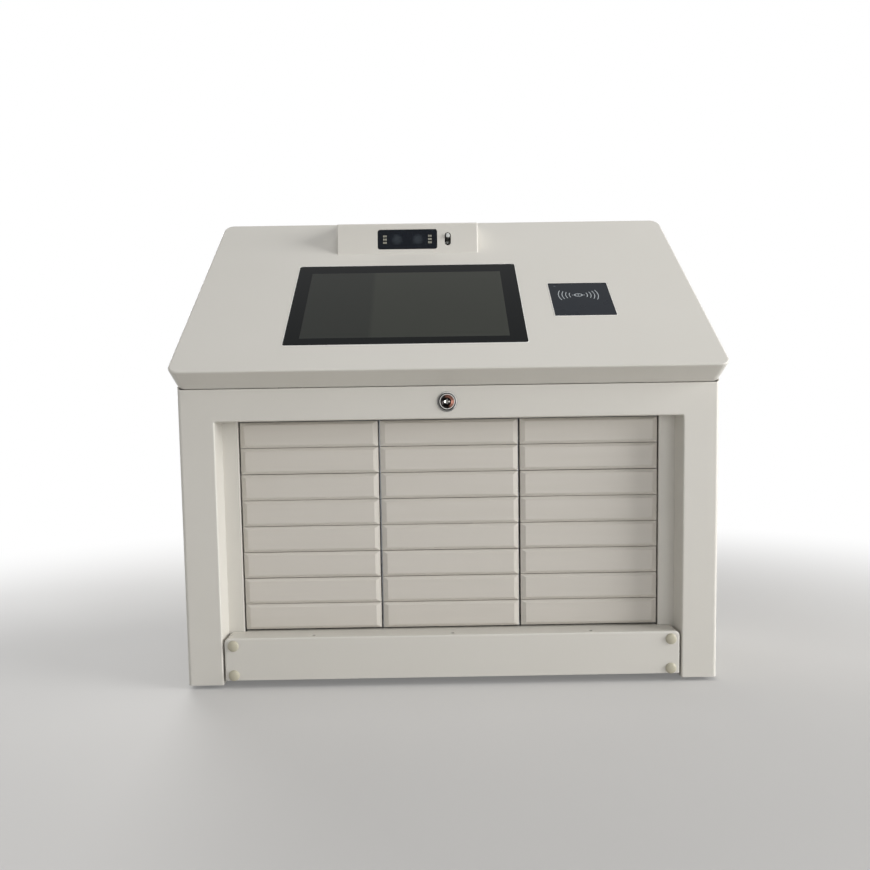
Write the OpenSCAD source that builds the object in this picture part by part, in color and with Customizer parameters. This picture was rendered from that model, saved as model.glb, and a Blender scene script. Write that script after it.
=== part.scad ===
// Cell phone locker box: a steel cabinet with 24 pop-out drawers under a hinged, sloping lid.
//
// Cabinet coordinates, used inside every module: X is across the front from its middle, Y runs
// back from the front face, and Z is height above the cabinet's underside. seat() then puts the
// cabinet on its feet, with the whole object's box centred on the Z axis.

/* [Cabinet] */
// Width across the side panels
body_w = 552; // [544:1:560]
// Depth from the front face to the back of the rear panel
body_d = 223.5; // [222:0.5:240]
// Height of the front face, from the underside to the lid seam
front_h = 307.5; // [306:0.5:312]
// Thickness of the sheet steel
sheet = 1.5; // [1.2:0.1:1.8]
// Outside radius of the cabinet's folded edges
bend_r = 4; // [3:0.5:5]
// Width of the turned-in rim that the lid closes on
rim_w = 12; // [10:1:14]
// Height of the rubber feet
foot_h = 4; // [3:0.5:6]
// Radius of a rubber foot
foot_r = 12; // [10:1:15]

/* [Front frame] */
// Width of the upright at each side of the drawers
stile_w = 36.8; // [35:0.1:38]
// Outside radius of the fold round the recess
frame_bend_r = 3; // [2:0.5:6]
// Height of the rail above the drawers
rail_h = 34; // [33:0.5:36]
// Depth of the recess in front of the drawers
recess_d = 28; // [26:1:30]
// Height of the lip's top above the underside
lip_top = 49.2; // [48:0.1:50]
// Gap under the lip
lip_gap = 4.6; // [4:0.1:6]
// Gap between each end of the lip and the recess beside it
lip_end_gap = 1.8; // [1:0.1:2.5]
// Radius of the lip's top corners
lip_r = 5; // [3:0.5:7]
// Diameter of the domed caps on the lip
cap_d = 11.5; // [10:0.5:13]
// Diameter of the small holes in the lip's top
lip_hole_d = 5; // [4.2:0.1:6]
// Distance between two of those holes
lip_hole_pitch = 145.5; // [140:0.5:148]

/* [Drawers] */
// Number of drawer columns
columns = 3; // [3:1:3]
// Number of drawer rows
rows = 8; // [8:1:8]
// Distance from one column to the next
column_pitch = 147.8; // [147:0.1:148]
// Distance from one row to the next
row_pitch = 27.8; // [27.6:0.1:27.8]
// Black gap between two drawer fronts in a row
column_gap = 2.2; // [1.8:0.1:2.6]
// Dark line between two drawer fronts in a column
row_gap = 0.5; // [0.5:0.1:1.2]
// How far the raised field of a drawer front stands out of its border
front_bevel_d = 2.2; // [2:0.1:4]
// Width of the bevel at the ends of a drawer front
front_bevel_x = 5.3; // [4:0.1:7]
// Width of the bevel along the top and bottom of a drawer front
front_bevel_z = 3.2; // [2:0.1:4]
// Outside length of the tray behind a drawer front
tray_l = 163; // [155:1:163]
// Outside width of the tray
tray_w = 142; // [138:0.5:142]
// Height of the tray's sides
tray_h = 22; // [18:0.5:22]
// Thickness of the moulded tray's walls
tray_t = 1.6; // [1.4:0.1:2]

/* [Lid] */
// Slope of the lid
lid_angle = 39.1; // [38:0.1:39.5]
// How far the lid's front edge stands forward of the front face
nose_y = 28; // [26:0.5:29]
// Height of the lid's front edge above the seam
nose_z = 14.5; // [14:0.5:16]
// How far the lid stands out past each side panel
lid_overhang = 1.6; // [1:0.1:3]
// Radius of the lid's corners
lid_r = 11; // [8:0.5:12]
// Gap between the lid and the cabinet's rim
seam = 0.6; // [0.5:0.1:1]

/* [Screen and card reader] */
// Middle of the screen and of the camera, from the middle of the front
screen_x = -43.5; // [-48:0.5:-40]
// Middle of the screen, up the slope from the lid's front edge
screen_u = 128; // [124:1:132]
// Width of the screen's glass
glass_w = 252; // [248:1:254]
// Height of the screen's glass
glass_h = 167.6; // [164:0.1:170]
// Middle of the card reader's tile, from the middle of the front
tile_x = 149; // [145:0.5:155]
// Width of the tile
tile_w = 67; // [64:0.5:70]
// Height of the tile
tile_h = 70.5; // [66:0.5:73]

/* [Camera] */
// Where the housing's face stands, up the slope from the lid's front edge
housing_u = 240.3; // [238:0.1:242]
// Width of the housing
housing_w = 170; // [160:1:175]
// Height of the housing's face
housing_h = 36.7; // [35:0.1:38]
// How far the face leans back from upright, in degrees
face_lean = 5; // [3:0.5:7]
// Width of the camera window
window_w = 71.3; // [70:0.1:73]
// Height of the camera window
window_h = 23.4; // [22:0.1:24]
// Middle of the window and of the lever's slot, up the face
window_v = 17.6; // [17:0.1:18]
// Middle of the lever's slot, from the middle of the window
slot_x = 48.7; // [47:0.1:50]
// Width of the lever's slot
slot_w = 7.4; // [7:0.1:8]
// Length of the lever's slot
slot_h = 15.8; // [15.5:0.1:17]

/* [Lock] */
// Middle of the lock, from the middle of the front
lock_x = -2; // [-5:0.5:5]
// Height of the lock above the underside
lock_z = 290.7; // [290:0.1:292]
// Diameter of the chromed bezel
bezel_d = 20.5; // [20:0.5:23]
// Length of the cam from the lock's axis
cam_l = 22; // [21:0.5:22]

/* [Rear] */
// Outside radius of a hinge knuckle
knuckle_r = 3.5; // [3:0.1:4]
// Length of a hinge
hinge_l = 60; // [50:5:80]
// Middle of the mains inlet, from the middle of the rear panel
inlet_x = -200; // [-205:1:-180]
// Height of the middle of the mains inlet
inlet_z = 340; // [338:1:360]

/* [Hidden] */
$fn = 48;

// Colours
powder_coat = [0.80, 0.79, 0.76];
moulding = [0.74, 0.72, 0.68];
zinc = [0.66, 0.67, 0.68];
chrome = [0.82, 0.82, 0.84];
black_glass = [0.10, 0.11, 0.12];
black_plastic = [0.13, 0.13, 0.14];
ivory = [0.84, 0.83, 0.76];
board_green = [0.10, 0.32, 0.20];

// Whole object
slack = 0.01;
depth_all = nose_y + body_d + 2 * knuckle_r;
front_y = nose_y - depth_all / 2;

// Cabinet
side_in = body_w / 2 - sheet;
frame_in = body_w / 2 - stile_w;
bank_half = columns * column_pitch / 2;
rail_z = front_h - rail_h;
foot_x = body_w / 2 - 34;
foot_y = 26;
pan_front = 16;
pan_web_h = 14;
ear_x = 222;
ear_w = 12;
ear_y = 2.4;
ear_z = [lip_gap + 0.6, lip_top - 4];

// Drawer bank
drawers_top = rail_z - 0.3;
front_w = column_pitch - column_gap;
front_tall = row_pitch - row_gap;
field_y = recess_d - 1;
border_y = field_y + front_bevel_d;
front_back = recess_d + 5;
wall_t = 2;
wall_front = front_back + 8;
wall_x = [for (i = [0 : columns]) (i - columns / 2) * column_pitch
    + (i == 0 ? -wall_t / 2 : i == columns ? wall_t / 2 : 0)];
top_front = recess_d + 2;
tongue_back = front_back + 0.5;
ledge_w = 7;
ledge_t = 1.4;
ledge_z = 1.2;
tray_z = 3;
tray_back = front_back + tray_l;
lock_case = [40, 18, 17];
lock_case_z = 5;
lock_case_y = tray_back + 3;
plate_y = lock_case_y + lock_case[1];
latch_slot = [5, 12, 11];
striker = [2, 9, 8];
plunger_r = 2.5;
plunger_x = 12;

// Lid
lid_w = body_w + 2 * lid_overhang;
lid_len = (nose_y + body_d) / cos(lid_angle);
lid_t = nose_z * cos(lid_angle) + nose_y * sin(lid_angle);
skirt_u = nose_y * cos(lid_angle) - nose_z * sin(lid_angle);
seam_rear_z = front_h + body_d * tan(lid_angle);

// Screen
glass_r = 3;
glass_t = 2.5;
glass_sunk = 0.3;
cut_gap = 0.8;
frame_w = glass_w + 16;
frame_h = glass_h + 16;
frame_t = 2.8;
panel_w = 236;
panel_h = 152;
panel_t = 8;
panel_v = -sheet - frame_t - panel_t;
strap_l = 290;
strap_w = 14;
strap_t = 2;
strap_off = 55;
board_t = 1.6;
panel_pcb = [130, 80];
heat_sink = [36, 28, 9];
port = [16, 13, 10];
port_pitch = 31;
tile_t = 2;
tile_sunk = 0.2;
tile_r = 1.5;
reader_w = tile_w + 13;
reader_h = tile_h + 13;
reader_t = 12;

// Camera
face_turn = 90 - face_lean - lid_angle;
apex = housing_h * [cos(face_turn), sin(face_turn)];
heel = [lid_len - housing_u - 1.5, 0];
window_r = 2.6;
window_t = 1.2;
window_flange = [8, 5];
window_sunk = 0.2;
window_gap = 0.3;
cut_rear = 65;
pivot_d = 14;
pivot_r = 1.5;
run_gap = 0.05;
module_z = 1;
camera_pcb = [68, 19, 1.6];
sensor_block = [60, 14, 5];
lens_x = 12.4;
lens_r = 6.5;
lens_front = 8;
led = [4.6, 2.4, 4];
led_x = 27;
led_pitch = 3.9;
ear_out = 38;
ear_r = 5;
ear_low = 8;
strip_rear = 74;
lever_rest = 3.2;
knob = [4.4, 5.6];
knob_out = 3.5;

// Lock
barrel_r = 9.25;
barrel_l = 18;
plug_r = 6;
cam_w = 13;
cam_t = 2;
cam_y = barrel_l + 0.3;
strike_y = cam_y + cam_t + 1.2;
strike_z = lock_z + 11.8;
strike_w = 24;
strike_flange = 21;

// Hinges
pin_r = 1.5;
leaf_h = 22;
leaf_t = 1.5;
leaf_from = 4.2;
hinge_x = [-180, 0, 180];
knuckles = 5;
knuckle_l = hinge_l / knuckles;
knuckle_gap = 0.3;

// Boards and power supply
shelf_z = rail_z + 2 * sheet;
leg_in = 6;
leg_r = 3;
leg_h = 6;
controller = [150, 100];
controller_at = [-60, 95];
relay = [12, 18, 15];
relay_in = 13;
relay_y = 70;
relay_pitch = 16;
wire_socket = [16, 10, 10];
socket_in = 14;
socket_pitch = 21;
chip = [28, 28, 3];
supply = [98, 92, 30];
supply_at = [-215, 110];
terminal_block = [13, 76, 16];
terminal = [6, 7, 9];
terminal_in = 4;
terminal_pitch = 10;

// Inlet
inlet_w = 27.4;
inlet_h = 47.4;
inlet_deep = 22;
inlet_flange = 2;
inlet_plate = [31, 51];
inlet_fit = 0.2;
socket = [24.4, 16, 16.8];
socket_z = -9.5;
prong = [2, 14, 4];
prongs = [[0, 4], [-7, -1.5], [7, -1.5]];
switch_z = 13.5;
switch_y = -3;
switch_bay = [14, 13, 20.4];
switch_pin_r = 1.2;
rocker_w = 13;
rocker_h = 18.4;
rocker_off = 10;

// The height of the cabinet's rim at distance y behind the front face
function rim_z(y) = front_h + y * tan(lid_angle) - seam / cos(lid_angle);

// A point given up the lid's slope and out of its surface, as [back, up]
function lid_point(u, v) = [
    -nose_y + u * cos(lid_angle) - v * sin(lid_angle),
    front_h + nose_z + u * sin(lid_angle) + v * cos(lid_angle)
];

// The height at distance y behind the front face on a plane square to the lid, u up its slope
function square_z(u, y) = lid_point(u, (u * cos(lid_angle) - nose_y - y) / sin(lid_angle))[1];

function column_x(c) = (c - (columns + 1) / 2) * column_pitch;
function row_z(r) = drawers_top - r * row_pitch;
function unit(v) = v / norm(v);

// ---- Placing ----

module seat() {
    translate([0, front_y, foot_h]) children();
}

// The lid's own coordinates: X across, Y up the slope from its front edge, Z out of its surface
module on_lid() {
    seat() translate([0, -nose_y, front_h + nose_z]) rotate([lid_angle, 0, 0]) children();
}

// The camera face's own coordinates: X from its middle, Y up the face, Z out of it
module on_face() {
    on_lid() translate([screen_x, housing_u, 0]) rotate([face_turn, 0, 0]) children();
}

// A profile drawn as (back, up) and drawn out across the front, from x0 to x1
module across(x0, x1) {
    translate([x0, 0, 0]) rotate([90, 0, 90]) linear_extrude(x1 - x0) children();
}

// A profile drawn as (across, up) and drawn out to the back, from y0 to y1
module backwards(y0, y1) {
    translate([0, y1, 0]) rotate([90, 0, 0]) linear_extrude(y1 - y0) children();
}

// ---- Shapes ----

module round_rect(w, h, r) {
    square([w - 2 * r, h], center = true);
    square([w, h - 2 * r], center = true);
    for (x = [-1, 1], y = [-1, 1]) translate([x * (w / 2 - r), y * (h / 2 - r)]) circle(r);
}

module stadium(w, h) {
    square([w, h - w], center = true);
    for (y = [-1, 1]) translate([0, y * (h - w) / 2]) circle(w / 2);
}

// A quarter of a folded edge, turning from the +X side of its centre to the +Y side
module fold(r) {
    intersection() {
        difference() {
            circle(r);
            circle(r - sheet);
        }
        square(r);
    }
}

// ---- Cabinet ----

// The plan of a side panel and its upright: the outer sheet, the front corner and the front strip
module side_plan() {
    translate([-body_w / 2, bend_r]) square([sheet, body_d - bend_r]);
    translate([-body_w / 2 + bend_r, bend_r]) rotate(180) fold(bend_r);
    translate([-body_w / 2 + bend_r, 0]) square([stile_w - bend_r - frame_bend_r, sheet]);
}

// The upright's inner edge, the side wall of the recess, and the flange that borders the drawers
module return_plan() {
    translate([-frame_in - frame_bend_r, frame_bend_r]) rotate(-90) fold(frame_bend_r);
    translate([-frame_in - sheet, frame_bend_r]) square([sheet, recess_d - frame_bend_r]);
    translate([-frame_in - sheet, recess_d]) square([frame_in + sheet - bank_half - 0.4, sheet]);
}

// Everything above the sloping rim
module over_rim() {
    top = rim_z(body_d) + body_d;
    across(-body_w, body_w) polygon([[-body_d, rim_z(-body_d)], [-body_d, top], [2 * body_d, top],
        [2 * body_d, rim_z(2 * body_d)]]);
}

module side_panel() {
    z0 = rim_z(bend_r) - sheet;
    z1 = rim_z(body_d - sheet) - sheet;
    color(powder_coat) difference() {
        union() {
            linear_extrude(rim_z(body_d) + 1) side_plan();
            linear_extrude(rail_z) return_plan();
            translate([-frame_in - frame_bend_r, 0, rail_z]) cube([frame_bend_r, sheet, rail_h]);
            across(-side_in, -body_w / 2 + rim_w)
                polygon([[bend_r, z0], [bend_r, z0 + 5], [body_d - sheet, z1 + 5], [body_d - sheet, z1]]);
        }
        over_rim();
    }
}

module side_panel_left() {
    seat() side_panel();
}

module side_panel_right() {
    seat() mirror([1, 0, 0]) side_panel();
}

module front_rail() {
    color(powder_coat) seat() difference() {
        union() {
            translate([-frame_in, 0, rail_z]) cube([2 * frame_in, sheet, rim_z(0) - rail_z]);
            translate([-frame_in, 0, rail_z]) cube([2 * frame_in, recess_d, sheet]);
            translate([-frame_in, 0, rim_z(0) - sheet]) cube([2 * frame_in, rim_w / 2, sheet]);
        }
        translate([lock_x, -1, lock_z]) rotate([-90, 0, 0]) cylinder(r = barrel_r, h = sheet + 2);
    }
}

module vent_rows(x0) {
    for (i = [0 : 9]) translate([x0 + i * 12, body_d - sheet / 2, 250]) cube([3.5, 4, 40], center = true);
}

module rear_panel() {
    color(powder_coat) seat() difference() {
        translate([-side_in, body_d - sheet, 0]) cube([2 * side_in, sheet, rim_z(body_d - sheet)]);
        for (z = [110, 430]) translate([0, 0, z - 250]) {
            vent_rows(-200);
            vent_rows(92);
        }
        translate([inlet_x, body_d, inlet_z]) cube([inlet_w, 4 * sheet, inlet_h], center = true);
    }
}

// The floor, and the two ears that the lip is fixed to, each with a web back to the floor
module base_pan() {
    color(powder_coat) seat() {
        translate([-side_in, recess_d + 2, 0]) cube([2 * side_in, body_d - recess_d - 2 - sheet, sheet]);
        translate([-frame_in + 4, pan_front, 0]) cube([2 * frame_in - 8, recess_d - pan_front - 1, sheet]);
        translate([-bank_half + 1, pan_front, 0]) cube([2 * bank_half - 2, recess_d, sheet]);
        for (x = [-ear_x - ear_w, ear_x])
            translate([x, ear_y, ear_z[0]]) cube([ear_w, sheet, ear_z[1] - ear_z[0]]);
        for (x = [-ear_x - ear_w, ear_x + ear_w - sheet]) across(x, x + sheet) polygon([
            [ear_y, ear_z[0]], [ear_y, ear_z[1]], [ear_y + sheet, ear_z[1]],
            [recess_d - 2, pan_web_h], [recess_d - 2, 0], [pan_front, 0]
        ]);
    }
}

module lip_plan(inset) {
    top = lip_top - inset;
    half = frame_in - lip_end_gap - inset;
    r = lip_r - inset;
    translate([-half, lip_gap]) square([2 * half, top - r - lip_gap]);
    translate([-half + r, lip_gap]) square([2 * half - 2 * r, top - lip_gap]);
    for (x = [-1, 1]) translate([x * (half - r), top - r]) circle(r);
}

// Where the lip's fixings go, as [x, z]
lip_fixings = [for (x = [-1, 1], z = [10, 41.2]) [x * (ear_x + ear_w / 2), z]];

// The lip is folded back at its top, with a tongue that runs on under the lowest drawers
module front_lip() {
    half = bank_half - 1.5;
    color(powder_coat) seat() difference() {
        union() {
            backwards(0.4, recess_d - 0.6) lip_plan(0);
            translate([-half, recess_d - 0.6, lip_top - sheet - slack])
                cube([2 * half, tongue_back - recess_d + 0.6, sheet + slack]);
        }
        translate([0, sheet + 0.4, -slack]) backwards(0, recess_d) lip_plan(sheet);
        translate([-frame_in, sheet + 0.4, 0]) cube([2 * frame_in, recess_d, lip_gap + 1]);
        for (i = [-1 : 1]) translate([i * lip_hole_pitch, 8, lip_top - 3]) cylinder(d = lip_hole_d, h = 4);
        for (p = lip_fixings) translate([p[0], 0, p[1]]) rotate([-90, 0, 0]) cylinder(r = 2.6, h = 3);
    }
}

// Domed caps on push-in stems
module lip_caps() {
    dome_h = 3;
    dome_r = (cap_d * cap_d / 4 + dome_h * dome_h) / (2 * dome_h);
    color(ivory) seat() for (p = lip_fixings) translate([p[0], 0.4, p[1]]) rotate([90, 0, 0]) {
        intersection() {
            translate([0, 0, dome_h - dome_r]) sphere(dome_r);
            cylinder(r = cap_d, h = dome_h + 1);
        }
        translate([0, 0, -sheet - 0.4]) cylinder(r = 2.5, h = sheet + 0.5);
    }
}

module rubber_feet() {
    color(black_plastic) seat() for (x = [-foot_x, foot_x], y = [foot_y + recess_d, body_d - foot_y])
        translate([x, y, -foot_h]) cylinder(r1 = foot_r - 1, r2 = foot_r, h = foot_h);
}

// ---- Drawer bank ----

module bank_walls() {
    color(zinc) seat() for (x = wall_x)
        translate([x - wall_t / 2, wall_front, sheet]) cube([wall_t, plate_y - wall_front, rail_z]);
}

// Straight bars on the walls: a drawer's tray slides on one at either side
module drawer_runners() {
    along = plate_y - wall_front;
    color(zinc) seat() for (c = [1 : columns], r = [1 : rows]) {
        for (x = [wall_x[c - 1] + wall_t / 2, wall_x[c] - wall_t / 2 - ledge_w])
            translate([x, wall_front, row_z(r) + ledge_z]) cube([ledge_w, along, ledge_t]);
    }
}

// One folded sheet: the shelf over the drawers, and the plate behind them that carries the locks
module bank_cover() {
    half = bank_half + wall_t;
    color(zinc) seat() across(-half, half) polygon([
        [top_front, rail_z + sheet], [plate_y, rail_z + sheet], [plate_y, sheet], [plate_y + sheet, sheet],
        [plate_y + sheet, rail_z + 2 * sheet], [top_front, rail_z + 2 * sheet]
    ]);
}

// One electric lock: its case, the mouth that the drawer's striker enters, and the ejector's nose
module drawer_lock(c, r) {
    translate([column_x(c), lock_case_y, row_z(r) + lock_case_z]) {
        difference() {
            translate([-lock_case[0] / 2, 0, 0]) cube(lock_case);
            translate([-latch_slot[0] / 2, -1, (lock_case[2] - latch_slot[2]) / 2]) cube(latch_slot);
        }
        translate([plunger_x, 0.1, lock_case[2] / 2]) rotate([90, 0, 0]) cylinder(r = plunger_r, h = 2.8);
    }
}

module drawer_locks() {
    color(zinc) seat() for (c = [1 : columns], r = [1 : rows]) drawer_lock(c, r);
}

// The bevelled front of a drawer, from its raised field back to its border
module drawer_front() {
    intersection() {
        linear_extrude(row_pitch) polygon([
            [-front_w / 2 + front_bevel_x, field_y], [front_w / 2 - front_bevel_x, field_y],
            [front_w / 2, border_y], [front_w / 2, front_back],
            [-front_w / 2, front_back], [-front_w / 2, border_y]
        ]);
        across(-front_w / 2, front_w / 2) polygon([
            [field_y, row_gap / 2 + front_bevel_z], [border_y, row_gap / 2],
            [front_back, row_gap / 2], [front_back, row_gap / 2 + front_tall],
            [border_y, row_gap / 2 + front_tall], [field_y, row_gap / 2 + front_tall - front_bevel_z]
        ]);
    }
}

module drawer_tray() {
    difference() {
        translate([-tray_w / 2, front_back - slack, tray_z]) cube([tray_w, tray_l + slack, tray_h]);
        translate([-tray_w / 2 + tray_t, front_back, tray_z + tray_t])
            cube([tray_w - 2 * tray_t, tray_l - tray_t, tray_h]);
    }
    translate([-striker[0] / 2, tray_back - slack, lock_case_z + (lock_case[2] - striker[2]) / 2])
        cube(striker);
}

module drawer(c, r) {
    color(moulding) seat() translate([column_x(c), 0, row_z(r)]) {
        drawer_front();
        drawer_tray();
    }
}

// ---- Electronics above the drawers ----

// A board on four legs, its corner at the origin
module legged_board(size) {
    for (x = [leg_in, size[0] - leg_in], y = [leg_in, size[1] - leg_in])
        translate([x, y, 0]) cylinder(r = leg_r, h = leg_h + slack);
    translate([0, 0, leg_h]) cube([size[0], size[1], board_t]);
}

module controller_board() {
    color(board_green) seat() translate([controller_at[0], controller_at[1], shelf_z]) {
        legged_board(controller);
        translate([0, 0, leg_h + board_t - slack]) {
            for (i = [0 : 7]) translate([relay_in + i * relay_pitch, relay_y, 0]) cube(relay);
            for (i = [0 : 5]) translate([socket_in + i * socket_pitch, leg_in, 0]) cube(wire_socket);
            translate([(controller[0] - chip[0]) / 2, (controller[1] - chip[1]) / 2, 0]) cube(chip);
        }
    }
}

// The power supply's case, with the block of its terminals at one end
module power_supply() {
    y0 = (supply[1] - terminal_block[1]) / 2;
    color(zinc) seat() translate([supply_at[0], supply_at[1], shelf_z]) difference() {
        union() {
            cube(supply);
            translate([supply[0] - slack, y0, 0]) cube(terminal_block);
        }
        for (i = [0 : 6]) translate([supply[0] + terminal_in, y0 + terminal_in + i * terminal_pitch, 8])
            cube(terminal);
    }
}

// ---- Mains inlet and its rocker switch, in the rear panel ----

module on_inlet() {
    seat() translate([inlet_x, body_d, inlet_z]) children();
}

module power_inlet() {
    color(black_plastic) on_inlet() difference() {
        union() {
            backwards(0, inlet_flange) square(inlet_plate, center = true);
            backwards(-inlet_deep, slack) square([inlet_w, inlet_h] - 2 * inlet_fit * [1, 1], center = true);
        }
        difference() {
            translate([0, 0, socket_z]) backwards(-socket[1], 2 * inlet_flange)
                square([socket[0], socket[2]], center = true);
            for (p = prongs) translate([p[0], 0, socket_z + p[1]])
                backwards(-socket[1] - 1, -socket[1] + prong[1]) square([prong[0], prong[2]], center = true);
        }
        translate([0, 0, switch_z]) backwards(-switch_bay[1], 2 * inlet_flange)
            square([switch_bay[0], switch_bay[2]], center = true);
        across(-9, 9) translate([switch_y, switch_z]) circle(switch_pin_r + run_gap);
    }
}

module power_switch() {
    top = rocker_h / 2;
    color(black_plastic) on_inlet() translate([0, switch_y, switch_z]) rotate([rocker_off, 0, 0]) {
        across(-rocker_w / 2, rocker_w / 2) polygon([
            [-7, -4], [3.2, -top], [4.6, -top], [3.4, 0], [4.6, top], [3.2, top], [-7, 4]
        ]);
        across(-8.5, 8.5) circle(switch_pin_r);
    }
}

// ---- Lid ----

// The lid's outline at depth v under its surface, inset by d: its front wall leans back under
// the nose and its rear wall stands upright
module lid_slice(v, d) {
    u0 = v * skirt_u / lid_t + d;
    u1 = lid_len - v * tan(lid_angle) - d;
    translate([0, (u0 + u1) / 2, -v]) linear_extrude(slack) round_rect(lid_w - 2 * d, u1 - u0, lid_r - d);
}

module lid_block(v0, v1, d) {
    hull() {
        lid_slice(v0 + slack, d);
        lid_slice(v1, d);
    }
}

module lid_shell() {
    color(powder_coat) on_lid() difference() {
        lid_block(0, lid_t, 0);
        lid_block(sheet, lid_t + 1, sheet);
        translate([screen_x, screen_u, -5])
            linear_extrude(10) round_rect(glass_w + 2 * cut_gap, glass_h + 2 * cut_gap, glass_r + 0.5);
        translate([tile_x, screen_u + 1, -5])
            linear_extrude(10) round_rect(tile_w + 1, tile_h + 1, tile_r + 0.3);
        translate([screen_x - 75, housing_u + 8, -5]) cube([150, cut_rear - 8, 10]);
    }
}

// The strike: a flange under the lid's sheet in front of the display, a web that hangs from it
// square to the lid, and an upright end behind the lock's cam. The lid's arc carries that end
// forward as the lid rises, so a cam that points up holds the lid down.
module lid_strike() {
    rear = screen_u - frame_h / 2 - 0.8;
    front = rear - sheet;
    y1 = strike_y + sheet;
    color(zinc) seat() across(lock_x - strike_w / 2, lock_x + strike_w / 2) polygon([
        lid_point(rear - strike_flange, -sheet), lid_point(rear, -sheet),
        [y1, square_z(rear, y1)], [y1, strike_z], [strike_y, strike_z],
        [strike_y, square_z(front, strike_y)],
        lid_point(front, -2 * sheet), lid_point(rear - strike_flange, -2 * sheet)
    ]);
}

module screen_glass() {
    color(black_glass) on_lid() translate([screen_x, screen_u, -glass_sunk - glass_t])
        linear_extrude(glass_t) round_rect(glass_w, glass_h, glass_r);
}

// The display with the frame that carries the glass behind the lid's sheet
module display_module() {
    color(black_plastic) on_lid() translate([screen_x, screen_u, 0]) difference() {
        union() {
            translate([0, 0, -sheet - frame_t]) linear_extrude(frame_t) round_rect(frame_w, frame_h, 4);
            translate([-panel_w / 2, -panel_h / 2, panel_v]) cube([panel_w, panel_h, panel_t + 0.1]);
        }
        translate([0, 0, -glass_sunk - glass_t])
            linear_extrude(5) round_rect(glass_w + 0.4, glass_h + 0.4, glass_r);
    }
}

// Two straps that clamp the display to studs on the lid's underside
module display_straps() {
    color(zinc) on_lid() for (u = [-strap_off, strap_off]) translate([screen_x, screen_u + u, 0]) {
        translate([-strap_l / 2, -strap_w / 2, panel_v - strap_t]) cube([strap_l, strap_w, strap_t]);
        for (x = [-1, 1]) translate([x * (strap_l / 2 - 5), 0, panel_v - 0.1])
            cylinder(r = 2.5, h = -panel_v - sheet + 0.1);
    }
}

module panel_board() {
    color(board_green) on_lid() translate([screen_x, screen_u, panel_v]) rotate([180, 0, 0])
        translate([-panel_pcb[0] / 2, -panel_pcb[1] / 2, 0]) {
            legged_board(panel_pcb);
            translate([0, 0, leg_h + board_t - slack]) {
                translate([(panel_pcb[0] - heat_sink[0]) / 2, (panel_pcb[1] - heat_sink[1]) / 2, 0])
                    cube(heat_sink);
                for (i = [0 : 3]) translate([leg_in + i * port_pitch, 0, 0]) cube(port);
            }
        }
}

module reader_tile() {
    color(black_glass) on_lid() translate([tile_x, screen_u + 1, -tile_sunk - tile_t])
        linear_extrude(tile_t) round_rect(tile_w, tile_h, tile_r);
}

module reader_module() {
    color(black_plastic) on_lid() translate([tile_x, screen_u + 1, 0]) difference() {
        translate([0, 0, -sheet - reader_t]) linear_extrude(reader_t) round_rect(reader_w, reader_h, 3);
        translate([0, 0, -tile_sunk - tile_t])
            linear_extrude(5) round_rect(tile_w + 0.3, tile_h + 0.3, tile_r);
    }
}

// ---- Camera on top of the lid ----

// The wedge between the housing's face, its sloping roof and the lid, as a profile (up the slope, out)
module wedge() {
    polygon([[0, 0], apex, heel]);
}

module camera_housing() {
    down = unit(-apex);
    back = unit(heel - apex);
    hollow = sheet * (down + back) / abs(down[0] * back[1] - down[1] * back[0]);
    color(powder_coat) difference() {
        on_lid() translate([screen_x, housing_u, 0]) difference() {
            across(-housing_w / 2, housing_w / 2) wedge();
            translate([0, hollow[0], hollow[1]])
                across(-housing_w / 2 + sheet, housing_w / 2 - sheet) wedge();
        }
        on_face() translate([0, window_v, -4]) linear_extrude(8)
            round_rect(window_w + 2 * window_gap, window_h + 2 * window_gap, window_r + window_gap);
        on_face() translate([slot_x, window_v, -4]) linear_extrude(8) stadium(slot_w, slot_h);
    }
}

// The smoked window, held by a flange behind the face's sheet
module camera_window() {
    color(black_glass) on_face() translate([0, window_v, 0]) {
        translate([0, 0, -sheet - slack])
            linear_extrude(sheet + slack - window_sunk) round_rect(window_w, window_h, window_r);
        translate([0, 0, -sheet - window_t]) linear_extrude(window_t)
            round_rect(window_w + window_flange[0], window_h + window_flange[1], window_r);
    }
}

// The pivot axis as [up the slope from the face's foot, out of the lid]
pivot_at = window_v * [cos(face_turn), sin(face_turn)] + pivot_d * [sin(face_turn), -cos(face_turn)];

// Two ears that carry the camera's pivot, on a strip under the lid's sheet
module camera_bracket() {
    color(zinc) on_lid() translate([screen_x, housing_u, 0]) difference() {
        union() {
            for (x = [-ear_out, ear_out - sheet]) across(x, x + sheet) {
                translate(pivot_at) circle(ear_r);
                polygon([
                    pivot_at + [-0.92, -0.3] * ear_r, pivot_at + [0, 0.98] * ear_r, [cut_rear - 3, -sheet],
                    [strip_rear, -sheet], [strip_rear, -ear_low], [pivot_at[0], -ear_low]
                ]);
            }
            translate([-ear_out, cut_rear + 1, -2 * sheet])
                cube([2 * ear_out, strip_rear - cut_rear - 1, sheet]);
        }
        across(-ear_out - 1, ear_out + 1) translate(pivot_at) circle(pivot_r + run_gap);
    }
}

module on_pivot() {
    on_face() translate([0, window_v, -pivot_d]) children();
}

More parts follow.
